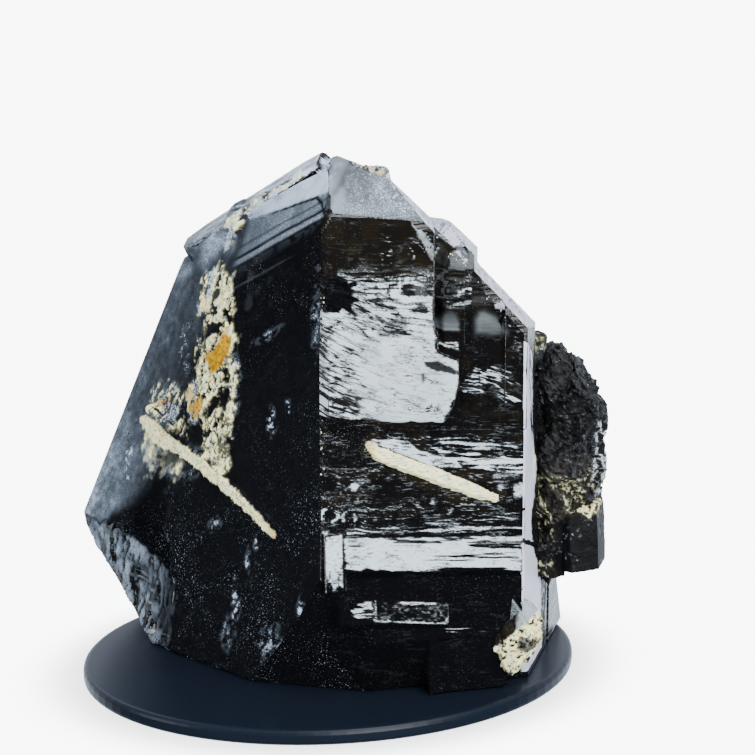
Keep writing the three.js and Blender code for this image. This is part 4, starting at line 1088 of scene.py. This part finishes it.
rightShape = {
    "outline": [(16.7, 21), (24, 15), (26.6, 4), (27.4, -5), (30, -10), (30.5, -24), (38.4, -29), (38.4, -46),
                (16.4, -46)],
    "slope": 0,
    "spacing": (0.26, 0.26),
    "floor": -1.5,
    "ceiling": 0.8,
    "depth": 12,
}
rightEdge = [(21.0, 24), (22.4, 13), (24.0, 6), (25.0, -2), (28.0, -9), (26.6, -12.5), (24.0, -15.4),
             (23.6, -19), (28, -25), (31, -29), (34, -34), (34, -60), (10, -60), (10, 24)]

rightLooks = {"frost": 0.80, "clouds": 0.25, "streaks": 0.78, "crack": 0.92, "crust": 0.7, "ochre": 0.05,
              "brown": 0.3, "paleDull": 0.3, "darkDull": 0.6, "grain": 0.35, "skin": 0.05, "broad": 0.15,
              "fine": 0.25, "crackDepth": 0.2}


def rightRelief(across, line, base):
    # Lilac-white painted reflection, laid on as frost, up to a ragged border, blue-dark streaks beside it, and
    # one crack that crosses it.
    clouds = layeredNoise(across / 2.2, line / 3.5, 231, 4)
    streaks = layeredNoise((across + 0.25 * line) / 0.6, line / 5, 233, 3)
    fine = layeredNoise(across / 0.6, line / 0.6, 235, 3)
    inner = insideDistance(across, line, rightEdge) + 1.8 * (clouds - 0.5) + 0.9 * (fine - 0.5)
    pale = eased(inner, -0.2, 0.4)
    crack = eased(0.55 - np.abs(line + 18.2 + 0.42 * (across - 17) + 1.0 * (clouds - 0.5)), 0, 0.3)
    dark = eased(3.2 - inner, 0, 1.6) * eased(line, -6, 2) * eased(streaks, 0.40, 0.55)
    spots = eased(1.0 - np.hypot((across - 25.6) / 1.4, (line + 6.5) / 3.4) + 1.6 * (fine - 0.5), 0, 0.4)
    share = rightLooks
    # the painted reflection inside the border
    frost = pale * (share["frost"] + share["clouds"] * (clouds - 0.5) - share["streaks"] * dark)
    frost = np.clip(frost * (1 - share["crack"] * crack), 0, 1)
    lift = share["skin"] + share["broad"] * (clouds - 0.5) + share["fine"] * (fine - 0.5) * (1 - pale)
    lift -= share["crackDepth"] * crack
    dull = share["paleDull"] + share["darkDull"] * (1 - pale)
    return lift, looksArray(across, frost, share["crust"] * spots, share["ochre"] * spots,
                            share["brown"] * (1 - pale), dull, share["grain"]), line


dressFace("right_face", "right", rightShape, rightRelief, lilac)


def lumpPlanes(at, size, seed, axes):
    # The flat faces of one of the part's angular lumps: ways spread evenly round a ball, each nearer or
    # farther by a little, stretched to the lump's size along the axes.
    count, nearest, spread = 20, 0.86, 0.2
    order = np.arange(count)
    height = 1 - (2 * order + 1) / count
    turn = order * math.pi * (3 - math.sqrt(5)) + seed
    ring = np.sqrt(1 - height ** 2)
    ball = np.stack([ring * np.cos(turn), ring * np.sin(turn), height], -1)
    normals = (ball / size) @ axes
    points = (ball * size * (nearest + spread * hashed(seed, order, 0))[:, None]) @ axes
    normals /= np.linalg.norm(normals, axis=1)[:, None]
    return np.array(at, float), normals, (normals * points).sum(1)


def crystalPlanes(at, radius, length, lean, turn, tip):
    # The faces of one of the part's small crystals: six sides, six tip faces, a cap and a base. Every other
    # side is a little nearer, and its tip face starts higher.
    rise, smallTip, nearSide = math.radians(38.2), 0.7, 0.92
    angles = np.radians(turn + 60 * np.arange(6))
    odd = np.arange(6) % 2
    sides = np.stack([np.sin(angles), -np.cos(angles), np.zeros(6)], -1)
    tips = sides * math.cos(rise) + np.array([0, 0, math.sin(rise)])
    feet = length - tip * np.where(odd, smallTip, 1)
    normals = np.concatenate([sides, tips, [[0, 0, 1], [0, 0, -1]]])
    offsets = np.concatenate([radius * np.where(odd, nearSide, 1),
                              radius * math.cos(rise) + feet * math.sin(rise), [length, 0]])
    a, b = math.radians(-lean[1]), math.radians(lean[0])
    tilt = np.array([[1, 0, 0], [0, math.cos(a), -math.sin(a)], [0, math.sin(a), math.cos(a)]])
    swing = np.array([[math.cos(b), 0, math.sin(b)], [0, 1, 0], [-math.sin(b), 0, math.cos(b)]])
    turned = normals @ (swing @ tilt).T
    middle = (swing @ tilt) @ np.array([0, 0, length / 2])
    return np.array(at) + middle, turned, offsets - turned @ middle


def facets(points, cell, tilt, seed):
    # Angular relief. Each point belongs to the nearest of many scattered seeds, and each seed has its own
    # height and its own slope.
    place = points / cell
    corner = np.floor(place)
    nearest = np.full(len(points), 1e9)
    height = np.zeros(len(points))
    for shift in np.ndindex(3, 3, 3):
        i, j, k = (corner + shift - 1).T
        drawn = [hashed(i + 57 * k, j + 31 * k, seed + number) for number in range(7)]
        gap = place - corner - shift + 1 - np.stack(drawn[:3], -1)
        away = (gap ** 2).sum(-1)
        level = drawn[6] + tilt * (gap * (np.stack(drawn[3:6], -1) - 0.5)).sum(-1)
        height = np.where(away < nearest, level, height)
        nearest = np.minimum(nearest, away)
    return height


def ballMesh(rings, turns):
    # A ball of directions with a pole above and below: its points ring by ring, the four-sided faces
    # between neighbouring rings, and the triangles round both poles.
    ring = np.linspace(0, math.pi, rings + 2)[1:-1]
    turn = np.arange(turns) * 2 * math.pi / turns
    ringGrid, turnGrid = np.meshgrid(ring, turn, indexing="ij")
    ways = np.stack([np.sin(ringGrid) * np.cos(turnGrid), np.sin(ringGrid) * np.sin(turnGrid),
                     np.cos(ringGrid)], -1).reshape(-1, 3)
    ways = np.concatenate([[[0, 0, 1]], ways, [[0, 0, -1]]])
    body = 1 + np.arange(rings * turns).reshape(rings, turns)
    beside = np.roll(body, -1, 1)
    quads = np.stack([body[:-1], body[1:], beside[1:], beside[:-1]], -1).reshape(-1, 4)
    top = np.stack([np.zeros(turns, int), body[0], beside[0]], -1)
    bottom = np.stack([np.full(turns, len(ways) - 1), beside[-1], body[-1]], -1)
    return ways, quads, np.concatenate([top, bottom])


def roughSolids(name, solids, values, looksOf, material, rings=72, turns=108):
    # Rough copies of flat-faced solids that lie just outside them. Each is a ball whose radius in every
    # direction stops at the nearest plane, swollen by large and small facets and by fine grit.
    ways, quads, caps = ballMesh(rings, turns)
    least = 1e-3
    places, faces, looks = [], [], []
    for number, (middle, normals, offsets) in enumerate(solids):
        facing = ways @ normals.T
        radius = np.where(facing > least, offsets / np.maximum(facing, least), 1e9).min(1)
        flat = middle + radius[:, None] * ways
        blocks = facets(flat, values["blockCell"], values["tilt"], values["seed"])
        chips = facets(flat, values["chipCell"], values["tilt"], values["seed"] + 9)
        grit = spaceNoise(flat, values["gritCell"], values["seed"] + 17, 2)
        radius += values["lift"] + values["blocks"] * blocks + values["chips"] * chips + values["grit"] * grit
        points = middle + radius[:, None] * ways
        places.append(points)
        faces += (quads + number * len(ways)).tolist() + (caps + number * len(ways)).tolist()
        looks.append(looksOf(points, blocks))
    newPiece(name, np.concatenate(places), faces, material, np.concatenate(looks), smooth=False)
    print(name, len(solids), "solids", len(faces) * 2, "triangles at most")


# The part's own side cluster, again as places, sizes and seeds.
clusterLumps = [
    ((41.4, 3, 56.4), (3.8, 8, 5), 3), ((43.2, 4, 53), (5.4, 9, 6), 5), ((44.6, 3, 48), (5.8, 8.5, 6.5), 8),
    ((42.4, 1.5, 43), (6.2, 9, 7.5), 13), ((41.4, 0.5, 36), (4.6, 8, 7), 21),
    ((44.6, 2.5, 32.6), (5.2, 6.5, 3.6), 34), ((40.2, 13, 47), (6.4, 9, 11), 55),
    ((40.4, 2, 27), (3.6, 7, 9), 89), ((45.4, 2, 40), (5.4, 5, 5), 144), ((36.5, 7, 43), (6.4, 9, 12), 233),
    ((36, 4, 52.5), (5.4, 7, 8), 377),
]
clusterCrystals = [
    # place, radius, length, lean, turn, tip
    ((37.6, 1, 54), 1.8, 11.6, (4, 0), 10, 0.9), ((47.2, 2.5, 36.6), 3.2, 9, (10, 4), 25, 3),
    ((46.1, 0, 21), 5.4, 12.2, (-3, 3), 16, 1.3), ((40.8, -2.4, 20), 3, 14, (3, 2), 40, 2.4),
    ((43.5, 11.5, 26), 5, 14, (10, -8), 5, 4.6),
]
rockValues = {"lift": 0.10, "blocks": 0.95, "blockCell": 2.4, "chips": 0.34, "chipCell": 0.75, "tilt": 1.4,
              "grit": 0.16, "gritCell": 0.5, "seed": 301}
blockValues = {"lift": 0.10, "blocks": 0.08, "blockCell": 2.6, "chips": 0.05, "chipCell": 0.7, "tilt": 1.4,
               "grit": 0.05, "gritCell": 0.5, "seed": 341}
crustValues = {"lift": 0.05, "blocks": 0.45, "blockCell": 1.9, "chips": 0.22, "chipCell": 0.7, "tilt": 1.8,
               "grit": 0.10, "gritCell": 0.4, "seed": 361}
# How strong their film, painted glints, crust and stains are, from 0 to 1.
rockShares = {"film": 0.003, "high": 0.03, "fine": 0.05, "glints": 0.20, "rim": 0.50, "crust": 0.05,
              "lowCrust": 0.42, "ochre": 0.04, "brown": 0.1, "lowBrown": 0.5, "dull": 0.72, "grain": 0.9,
              "dust": 0.4}
blockShares = {"film": 0.003, "areas": 0.02, "sliver": 0.10, "glints": 0.35, "topCrust": 0.72, "sideCrust": 0.45,
               "sliverCrust": 0.35, "ochre": 0.20, "topBrown": 0.8, "sideBrown": 0.5, "dull": 0.85,
               "grain": 0.85, "dust": 0.5}
crustShares = {"film": 0.24, "slope": 0.50, "crust": 0.85, "dark": 0.70, "ochre": 0.22, "brown": 0.7,
               "dull": 0.9, "grain": 0.6, "dust": 0.4}


def rockLooks(points, blocks):
    # Black facets with crisp painted glints, some blue-grey ones, whitish ones along the outer rim, and
    # brown-grey grains low down near the main crystal.
    areas = spaceNoise(points, 3.4, 313, 2)
    fine = spaceNoise(points, 0.8, 315, 2)
    tiny = spaceNoise(points, 0.36, 317, 2)
    share = rockShares
    film = share["film"] + share["high"] * eased(blocks, 0.8, 1.1)
    film += share["fine"] * eased(fine, 0.54, 0.66) * eased(areas, 0.44, 0.58)
    film += share["glints"] * eased(tiny, 0.60, 0.70) * eased(areas + 0.4 * (fine - 0.5), 0.44, 0.56)
    rim = eased(points[:, 0] + 2 * (areas - 0.5), 48.2, 49.8)
    rim *= eased(points[:, 2], 31, 34) * eased(52 - points[:, 2], 0, 4)
    film = np.maximum(film, share["rim"] * rim * eased(fine, 0.42, 0.56))
    low = eased(45 - points[:, 2], 0, 8) * eased(points[:, 2], 26, 31)
    crust = share["crust"] + share["lowCrust"] * low
    crust *= eased(areas, 0.50, 0.62) * eased(0.5 * fine + 0.5 * tiny, 0.46, 0.58)
    brown = share["brown"] + share["lowBrown"] * low
    return looksArray(blocks, film, crust, share["ochre"], brown, share["dull"], share["grain"],
                      dust=share["dust"])


def blockLooks(points, blocks):
    # Black faces with thin dust and crisp painted glints, a cream and brown crust on the tops, and a grey one on
    # the thin sliver.
    areas = spaceNoise(points, 2.4, 349, 2)
    fine = spaceNoise(points, 0.7, 351, 2)
    tiny = spaceNoise(points, 0.40, 353, 2)
    sliver = (points[:, 2] > 55) * eased(points[:, 2], 55, 62)
    share = blockShares
    film = share["film"] + share["areas"] * eased(areas, 0.5, 0.65)
    film += share["sliver"] * sliver * eased(areas, 0.35, 0.6)
    film += share["glints"] * eased(tiny, 0.66, 0.75) * eased(areas, 0.48, 0.60)
    top = eased(points[:, 2] + 2.6 * (areas - 0.5) + 1.0 * (fine - 0.5), 31.6, 32.6) * (points[:, 2] < 40)
    side = eased(42.4 - points[:, 0], 0, 1.5) * (points[:, 2] < 40)
    crust = np.maximum.reduce([
        share["topCrust"] * top * eased(0.6 * tiny + 0.4 * fine, 0.42, 0.54),
        share["sideCrust"] * side * eased(fine, 0.50, 0.6),
        share["sliverCrust"] * sliver * eased(points[:, 2], 60, 64) * eased(fine, 0.4, 0.6)])
    brown = share["topBrown"] * top + share["sideBrown"] * side
    return looksArray(blocks, film, crust, share["ochre"] * top, brown, share["dull"], share["grain"],
                      dust=share["dust"])


def crustLooks(points, blocks):
    # Cream below a line that slants up to the right, with grey and dark patches and some ochre, and a pale
    # smooth slope above it.
    areas = spaceNoise(points, 1.6, 367, 3)
    fine = spaceNoise(points, 0.5, 369, 2)
    below = 12.8 + 0.85 * (points[:, 0] - 32.0) - points[:, 2] + 1.2 * (areas - 0.5) + 0.8 * (fine - 0.5)
    within = eased(below, -0.1, 0.3)
    dark = eased(1.9 - np.hypot(points[:, 0] - 36.6, points[:, 2] - 12.2) + 3 * (areas - 0.5), 0, 0.8)
    share = crustShares
    crust = within * (share["crust"] - share["dark"] * dark) * eased(0.6 * fine + 0.4 * areas, 0.38, 0.50)
    slope = (1 - within) * eased(points[:, 0] + 1.5 * (areas - 0.5), 34.2, 35.0)
    film = np.maximum(share["film"] * within * eased(fine, 0.44, 0.58), share["slope"] * slope)
    ochre = share["ochre"] * eased(areas, 0.52, 0.66)
    return looksArray(blocks, film, crust, ochre, share["brown"], share["dull"], share["grain"] * within,
                      dust=share["dust"])


upright = np.eye(3)
frontAxes = faceAxes("front")
cornerCrusts = [((35.9, -38.6), (2.9, 4.8, 1.3), 16), ((38.2, -35.6), (2.6, 4.8, 1.9), 17)]
roughSolids("cluster_rocks", [lumpPlanes(at, size, seed, upright) for at, size, seed in clusterLumps],
            rockValues, rockLooks, rocky)
roughSolids("cluster_blocks", [crystalPlanes(*crystal) for crystal in clusterCrystals],
            blockValues, blockLooks, rocky, 84, 120)
roughSolids("corner_crust", [
    lumpPlanes(frontAxes[0] + x * frontAxes[1] + y * frontAxes[2], size, seed, np.array(frontAxes[1:]))
    for (x, y), size, seed in cornerCrusts], crustValues, crustLooks, rocky)


def lumpCloud(name, centres, sizes, looks, material, seed, rings=4, turns=7, planes=9):
    # Many angular crumbs in one mesh. Each is a ball whose radius in every direction stops at the nearest
    # of its own flat planes, stretched to its size.
    ways, quads, caps = ballMesh(rings, turns)
    goldenTurn, fullTurn, jitter = 2.39996, 6.283, 0.5
    nearest, spread, least, most = 0.72, 0.24, 0.05, 1.25
    count = len(centres)
    lump, plane = np.meshgrid(np.arange(count), np.arange(planes), indexing="ij")
    height = 1 - (2 * plane + 1) / planes
    spin = plane * goldenTurn + fullTurn * hashed(lump, 0, seed)
    flat = np.sqrt(1 - height ** 2)
    looking = np.stack([flat * np.cos(spin), flat * np.sin(spin), height], -1)
    looking += jitter * (np.stack([hashed(lump, plane, seed + k) for k in (1, 2, 3)], -1) - 0.5)
    looking /= np.linalg.norm(looking, axis=-1, keepdims=True)
    reach = nearest + spread * hashed(lump, plane, seed + 4)
    facing = np.maximum(looking @ ways.T, least)
    radius = np.minimum((reach[..., None] / facing).min(1), most)
    points = centres[:, None, :] + radius[..., None] * ways * sizes[:, None, :]
    shift = (np.arange(count) * len(ways))[:, None, None]
    faces = (quads + shift).reshape(-1, 4).tolist() + (caps + shift).reshape(-1, 3).tolist()
    newPiece(name, points.reshape(-1, 3), faces, material, np.repeat(looks, len(ways), 0), smooth=False)
    print(name, count, "crumbs", len(faces), "faces")


def between(count, low, high, seed):
    # As many fixed numbers as asked for, spread evenly from low to high.
    return low + (high - low) * hashed(np.arange(count), 5, seed)


# Rows of crumbs along edges: face, path as places to the right and growth lines, how many, spread, sizes,
# pale share.
crumbRows = [
    ("left", [(0.0, 22.0), (-0.2, 4.0), (0.1, -6.0), (0.3, -12)], 60, 0.30, (0.08, 0.24), 0.30),
    ("left", [(0.0, 33.5), (0.0, 22.0)], 50, 0.5, (0.10, 0.30), 0.50),
    ("front", [(37.4, 24.0), (37.5, 2.0), (37.5, -26.0)], 26, 0.15, (0.06, 0.16), 0.60),
    ("front", [(20.9, 33.0), (20.4, 27.0), (21.2, 18.6), (24.6, 17.5), (24.8, 13.0), (22.2, 7.0)], 50, 0.22,
     (0.08, 0.20), 0.15),
    ("front", [(17.0, 43.0), (21.0, 39.5), (26.0, 37.5), (30.0, 31.0), (36.5, 23.8)], 80, 0.50,
     (0.08, 0.26), 0.35),
    ("frontTip", [(8.2, 45.4), (10.4, 44.6), (12.6, 43.4)], 40, 0.6, (0.12, 0.34), 0.75),
]

crumbValues = {"lowest": -6, "squeeze": (0.7, 1.3), "creamShare": 0.3, "frost": 0.6, "crust": 0.6, "brown": 0.4}


def edgeCrumbs(rows, values):
    # Crumbs strewn evenly along each row's path on its face, half sunk in the surface that is there.
    slopes = {"left": leftShape["slope"], "front": frontShape["slope"], "frontTip": 0}
    centres, sizes, looks = [], [], []
    for number, (face, path, count, spread, (small, large), pale) in enumerate(rows):
        axes = faceAxes(face)
        origin, right, up, out = axes
        path = np.array(path, float)
        lengths = np.r_[0, np.cumsum(np.hypot(*np.diff(path, axis=0).T))]
        where = between(count, 0, lengths[-1], 401 + number)
        across = np.interp(where, lengths, path[:, 0]) + spread * between(count, -1, 1, 421 + number)
        upward = np.interp(where, lengths, path[:, 1]) + spread * between(count, -1, 1, 441 + number)
        upward = upward + slopes[face] * across
        level = solidHeight(axes, across[:, None], upward[:, None])[:, 0]
        there = ~np.isnan(level) & (level > values["lowest"])
        radius = small + (large - small) * between(count, 0, 1, 461 + number) ** 2
        place = origin + across[:, None] * right + upward[:, None] * up
        place = place + np.where(there, level, 0)[:, None] * out
        squeeze = [between(count, *values["squeeze"], seed + number) for seed in (481, 501, 521)]
        shape = radius[:, None] * np.stack(squeeze, -1)
        isPale = between(count, 0, 1, 541 + number) < pale
        cream = isPale & (between(count, 0, 1, 561 + number) < values["creamShare"])
        brown = between(count, 0, values["brown"], 581)
        tone = looksArray(isPale, values["frost"] * isPale, values["crust"] * cream, brown=brown, dull=0.6,
                          grain=0.4)
        centres.append(place[there])
        sizes.append(shape[there])
        looks.append(tone[there])
    lumpCloud("edge_crumbs", *(np.concatenate(part) for part in (centres, sizes, looks)), rocky, 601)


edgeCrumbs(crumbRows, crumbValues)

view = {
    "target": (9.1, -15.0, 62.24),
    "elevation": 18.0,
    "distance": 700.0,
    "lens": 185.43,
    "sensor": 36,
    "clip": (0.01, 20),          # metres
}
light = {
    # azimuth, elevation, distance, width and height in metres, watts
    "key": (29, 10, 1.0, 0.58, 0.62, 19.0),
    "top": (43, 54, 0.9, 0.46, 0.46, 8.0),
    "left": (-66, 14, 1.0, 0.5, 0.6, 8.5),
    "aim": (0, -0.02, 0.05),     # metres, as the floor's radius
    "backdrop": (0.93, 0.935, 0.95, 1),
    "floor": (0.96, 0.975, 1.0, 1),
    "floorGlow": 9.0,
    "floorRadius": 4,
    # the floor's shade is a painted contact shadow round the stand
    "shadeReach": (0.94, 1.35),  # where the floor's shade is full and where it ends, in half stands
    "shade": 0.35,
    "tint": (0.84, 0.94, 1.08, 1),
    "ambient": 0.80,
    "backWhite": 2.2,
    "backReach": (0.0, 0.6),     # parts of a direction where the back sets in and is full
    "skyWhite": 0.9,
    "skyReach": (0.3, 0.95),
    "frontDark": 0.03,
}


def softbox(name, azimuth, elevation, distance, width, height, watts):
    # A rectangle of light that looks at the crystal's middle.
    data = bpy.data.lights.new(name, "AREA")
    data.shape = "RECTANGLE"
    data.size, data.size_y, data.energy = width, height, watts
    lamp = bpy.data.objects.new(name, data)
    target = Vector(light["aim"])
    lamp.location = target + distance * Vector(lookDirection(azimuth, elevation))
    lamp.rotation_euler = (target - lamp.location).to_track_quat("-Z", "Y").to_euler()
    bpy.context.scene.collection.objects.link(lamp)


def backdropWorld(values):
    # White for the camera and even for diffuse light. Mirrored rays see a white back and sky and a dark
    # front.
    world = bpy.data.worlds.new("studio")
    bpy.context.scene.world = world
    add = emptyTree(world)
    ray = add("ShaderNodeLightPath")
    direction = add("ShaderNodeTexCoord")
    parts = add("ShaderNodeSeparateXYZ", {"Vector": (direction, "Generated")})

    def smoothly(part, limits, first, last):
        # An S-curve from first to last while a part of the ray's direction passes the limits.
        low, high = limits
        return add("ShaderNodeMapRange", {"Value": (parts, part), "From Min": low, "From Max": high,
                                          "To Min": first, "To Max": last},
                   interpolation_type="SMOOTHSTEP"), "Result"

    back = smoothly("Y", values["backReach"], values["frontDark"], values["backWhite"])
    sky = smoothly("Z", values["skyReach"], 0.0, values["skyWhite"])
    mirrored = add("ShaderNodeMath", {0: back, 1: sky}, operation="MAXIMUM")
    even = add("ShaderNodeMix", {"Factor": (ray, "Is Diffuse Ray"), "A": (mirrored, "Value"),
                                 "B": values["ambient"]}, data_type="FLOAT")
    glow = add("ShaderNodeBackground", {"Color": values["tint"], "Strength": (even, "Result")})
    shown = add("ShaderNodeBackground", {"Color": values["backdrop"], "Strength": values["floorGlow"]})
    mixed = add("ShaderNodeMixShader", {"Fac": (ray, "Is Camera Ray"), 1: (glow, "Background"),
                                        2: (shown, "Background")})
    add("ShaderNodeOutputWorld", {"Surface": (mixed, "Shader")})


standOval = {"halfLength": 46.5, "halfWidth": 37.2, "turn": 15}


def floorMaterial(values):
    # A white glow with a painted contact shadow close round the stand: its strength eases in with the distance
    # outside the stand's oval.
    material = bpy.data.materials.new("floor")
    add = emptyTree(material)
    places = add("ShaderNodeTexCoord")
    oval = add("ShaderNodeMapping", {"Vector": (places, "Object"),
                                     "Rotation": (0, 0, math.radians(-standOval["turn"]))})
    shares = [1 / standOval[half] / millimetre for half in ("halfLength", "halfWidth")]
    scaled = add("ShaderNodeVectorMath", {0: (oval, "Vector"), 1: (*shares, 0)}, operation="MULTIPLY")
    reach = add("ShaderNodeVectorMath", {0: (scaled, "Vector")}, operation="LENGTH")
    near, far = values["shadeReach"]
    strength = add("ShaderNodeMapRange", {"Value": (reach, "Value"), "From Min": near, "From Max": far,
                                          "To Min": values["shade"] * values["floorGlow"],
                                          "To Max": values["floorGlow"]},
                   interpolation_type="SMOOTHERSTEP")
    glow = add("ShaderNodeEmission", {"Color": values["floor"], "Strength": (strength, "Result")})
    add("ShaderNodeOutputMaterial", {"Surface": (glow, "Emission")})
    return material


def buildStage():
    # The camera looks down at the crystal, and the floor is a wide plain disc that mirrors don't see.
    camera = bpy.data.cameras.new("camera")
    camera.lens, camera.sensor_width = view["lens"], view["sensor"]
    camera.clip_start, camera.clip_end = view["clip"]
    eye = bpy.data.objects.new("camera", camera)
    elevation = math.radians(view["elevation"])
    toEye = Vector((0, -math.cos(elevation), math.sin(elevation)))
    eye.location = Vector(view["target"]) * millimetre + view["distance"] * millimetre * toEye
    eye.rotation_euler = (math.pi / 2 - elevation, 0, 0)
    bpy.context.scene.collection.objects.link(eye)
    bpy.context.scene.camera = eye
    for name in ("key", "top", "left"):
        softbox(name + "_light", *light[name])
    backdropWorld(light)
    bpy.ops.mesh.primitive_circle_add(vertices=96, radius=light["floorRadius"], fill_type="NGON",
                                      location=(0, 0, 0))
    floor = bpy.context.object
    floor.name = "floor"
    floor.data.materials.append(floorMaterial(light))
    floor.visible_glossy = False
    floor.visible_diffuse = False


buildStage()

standLooks = {"colour": (0.006, 0.009, 0.016, 1), "roughness": 0.30, "specular": 0.12}
for node, material in (("morion_crystal", bare), ("display_stand", plainMaterial("stand", **standLooks))):
    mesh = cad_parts[node].data
    mesh.materials.clear()
    mesh.materials.append(material)
print("stage set")
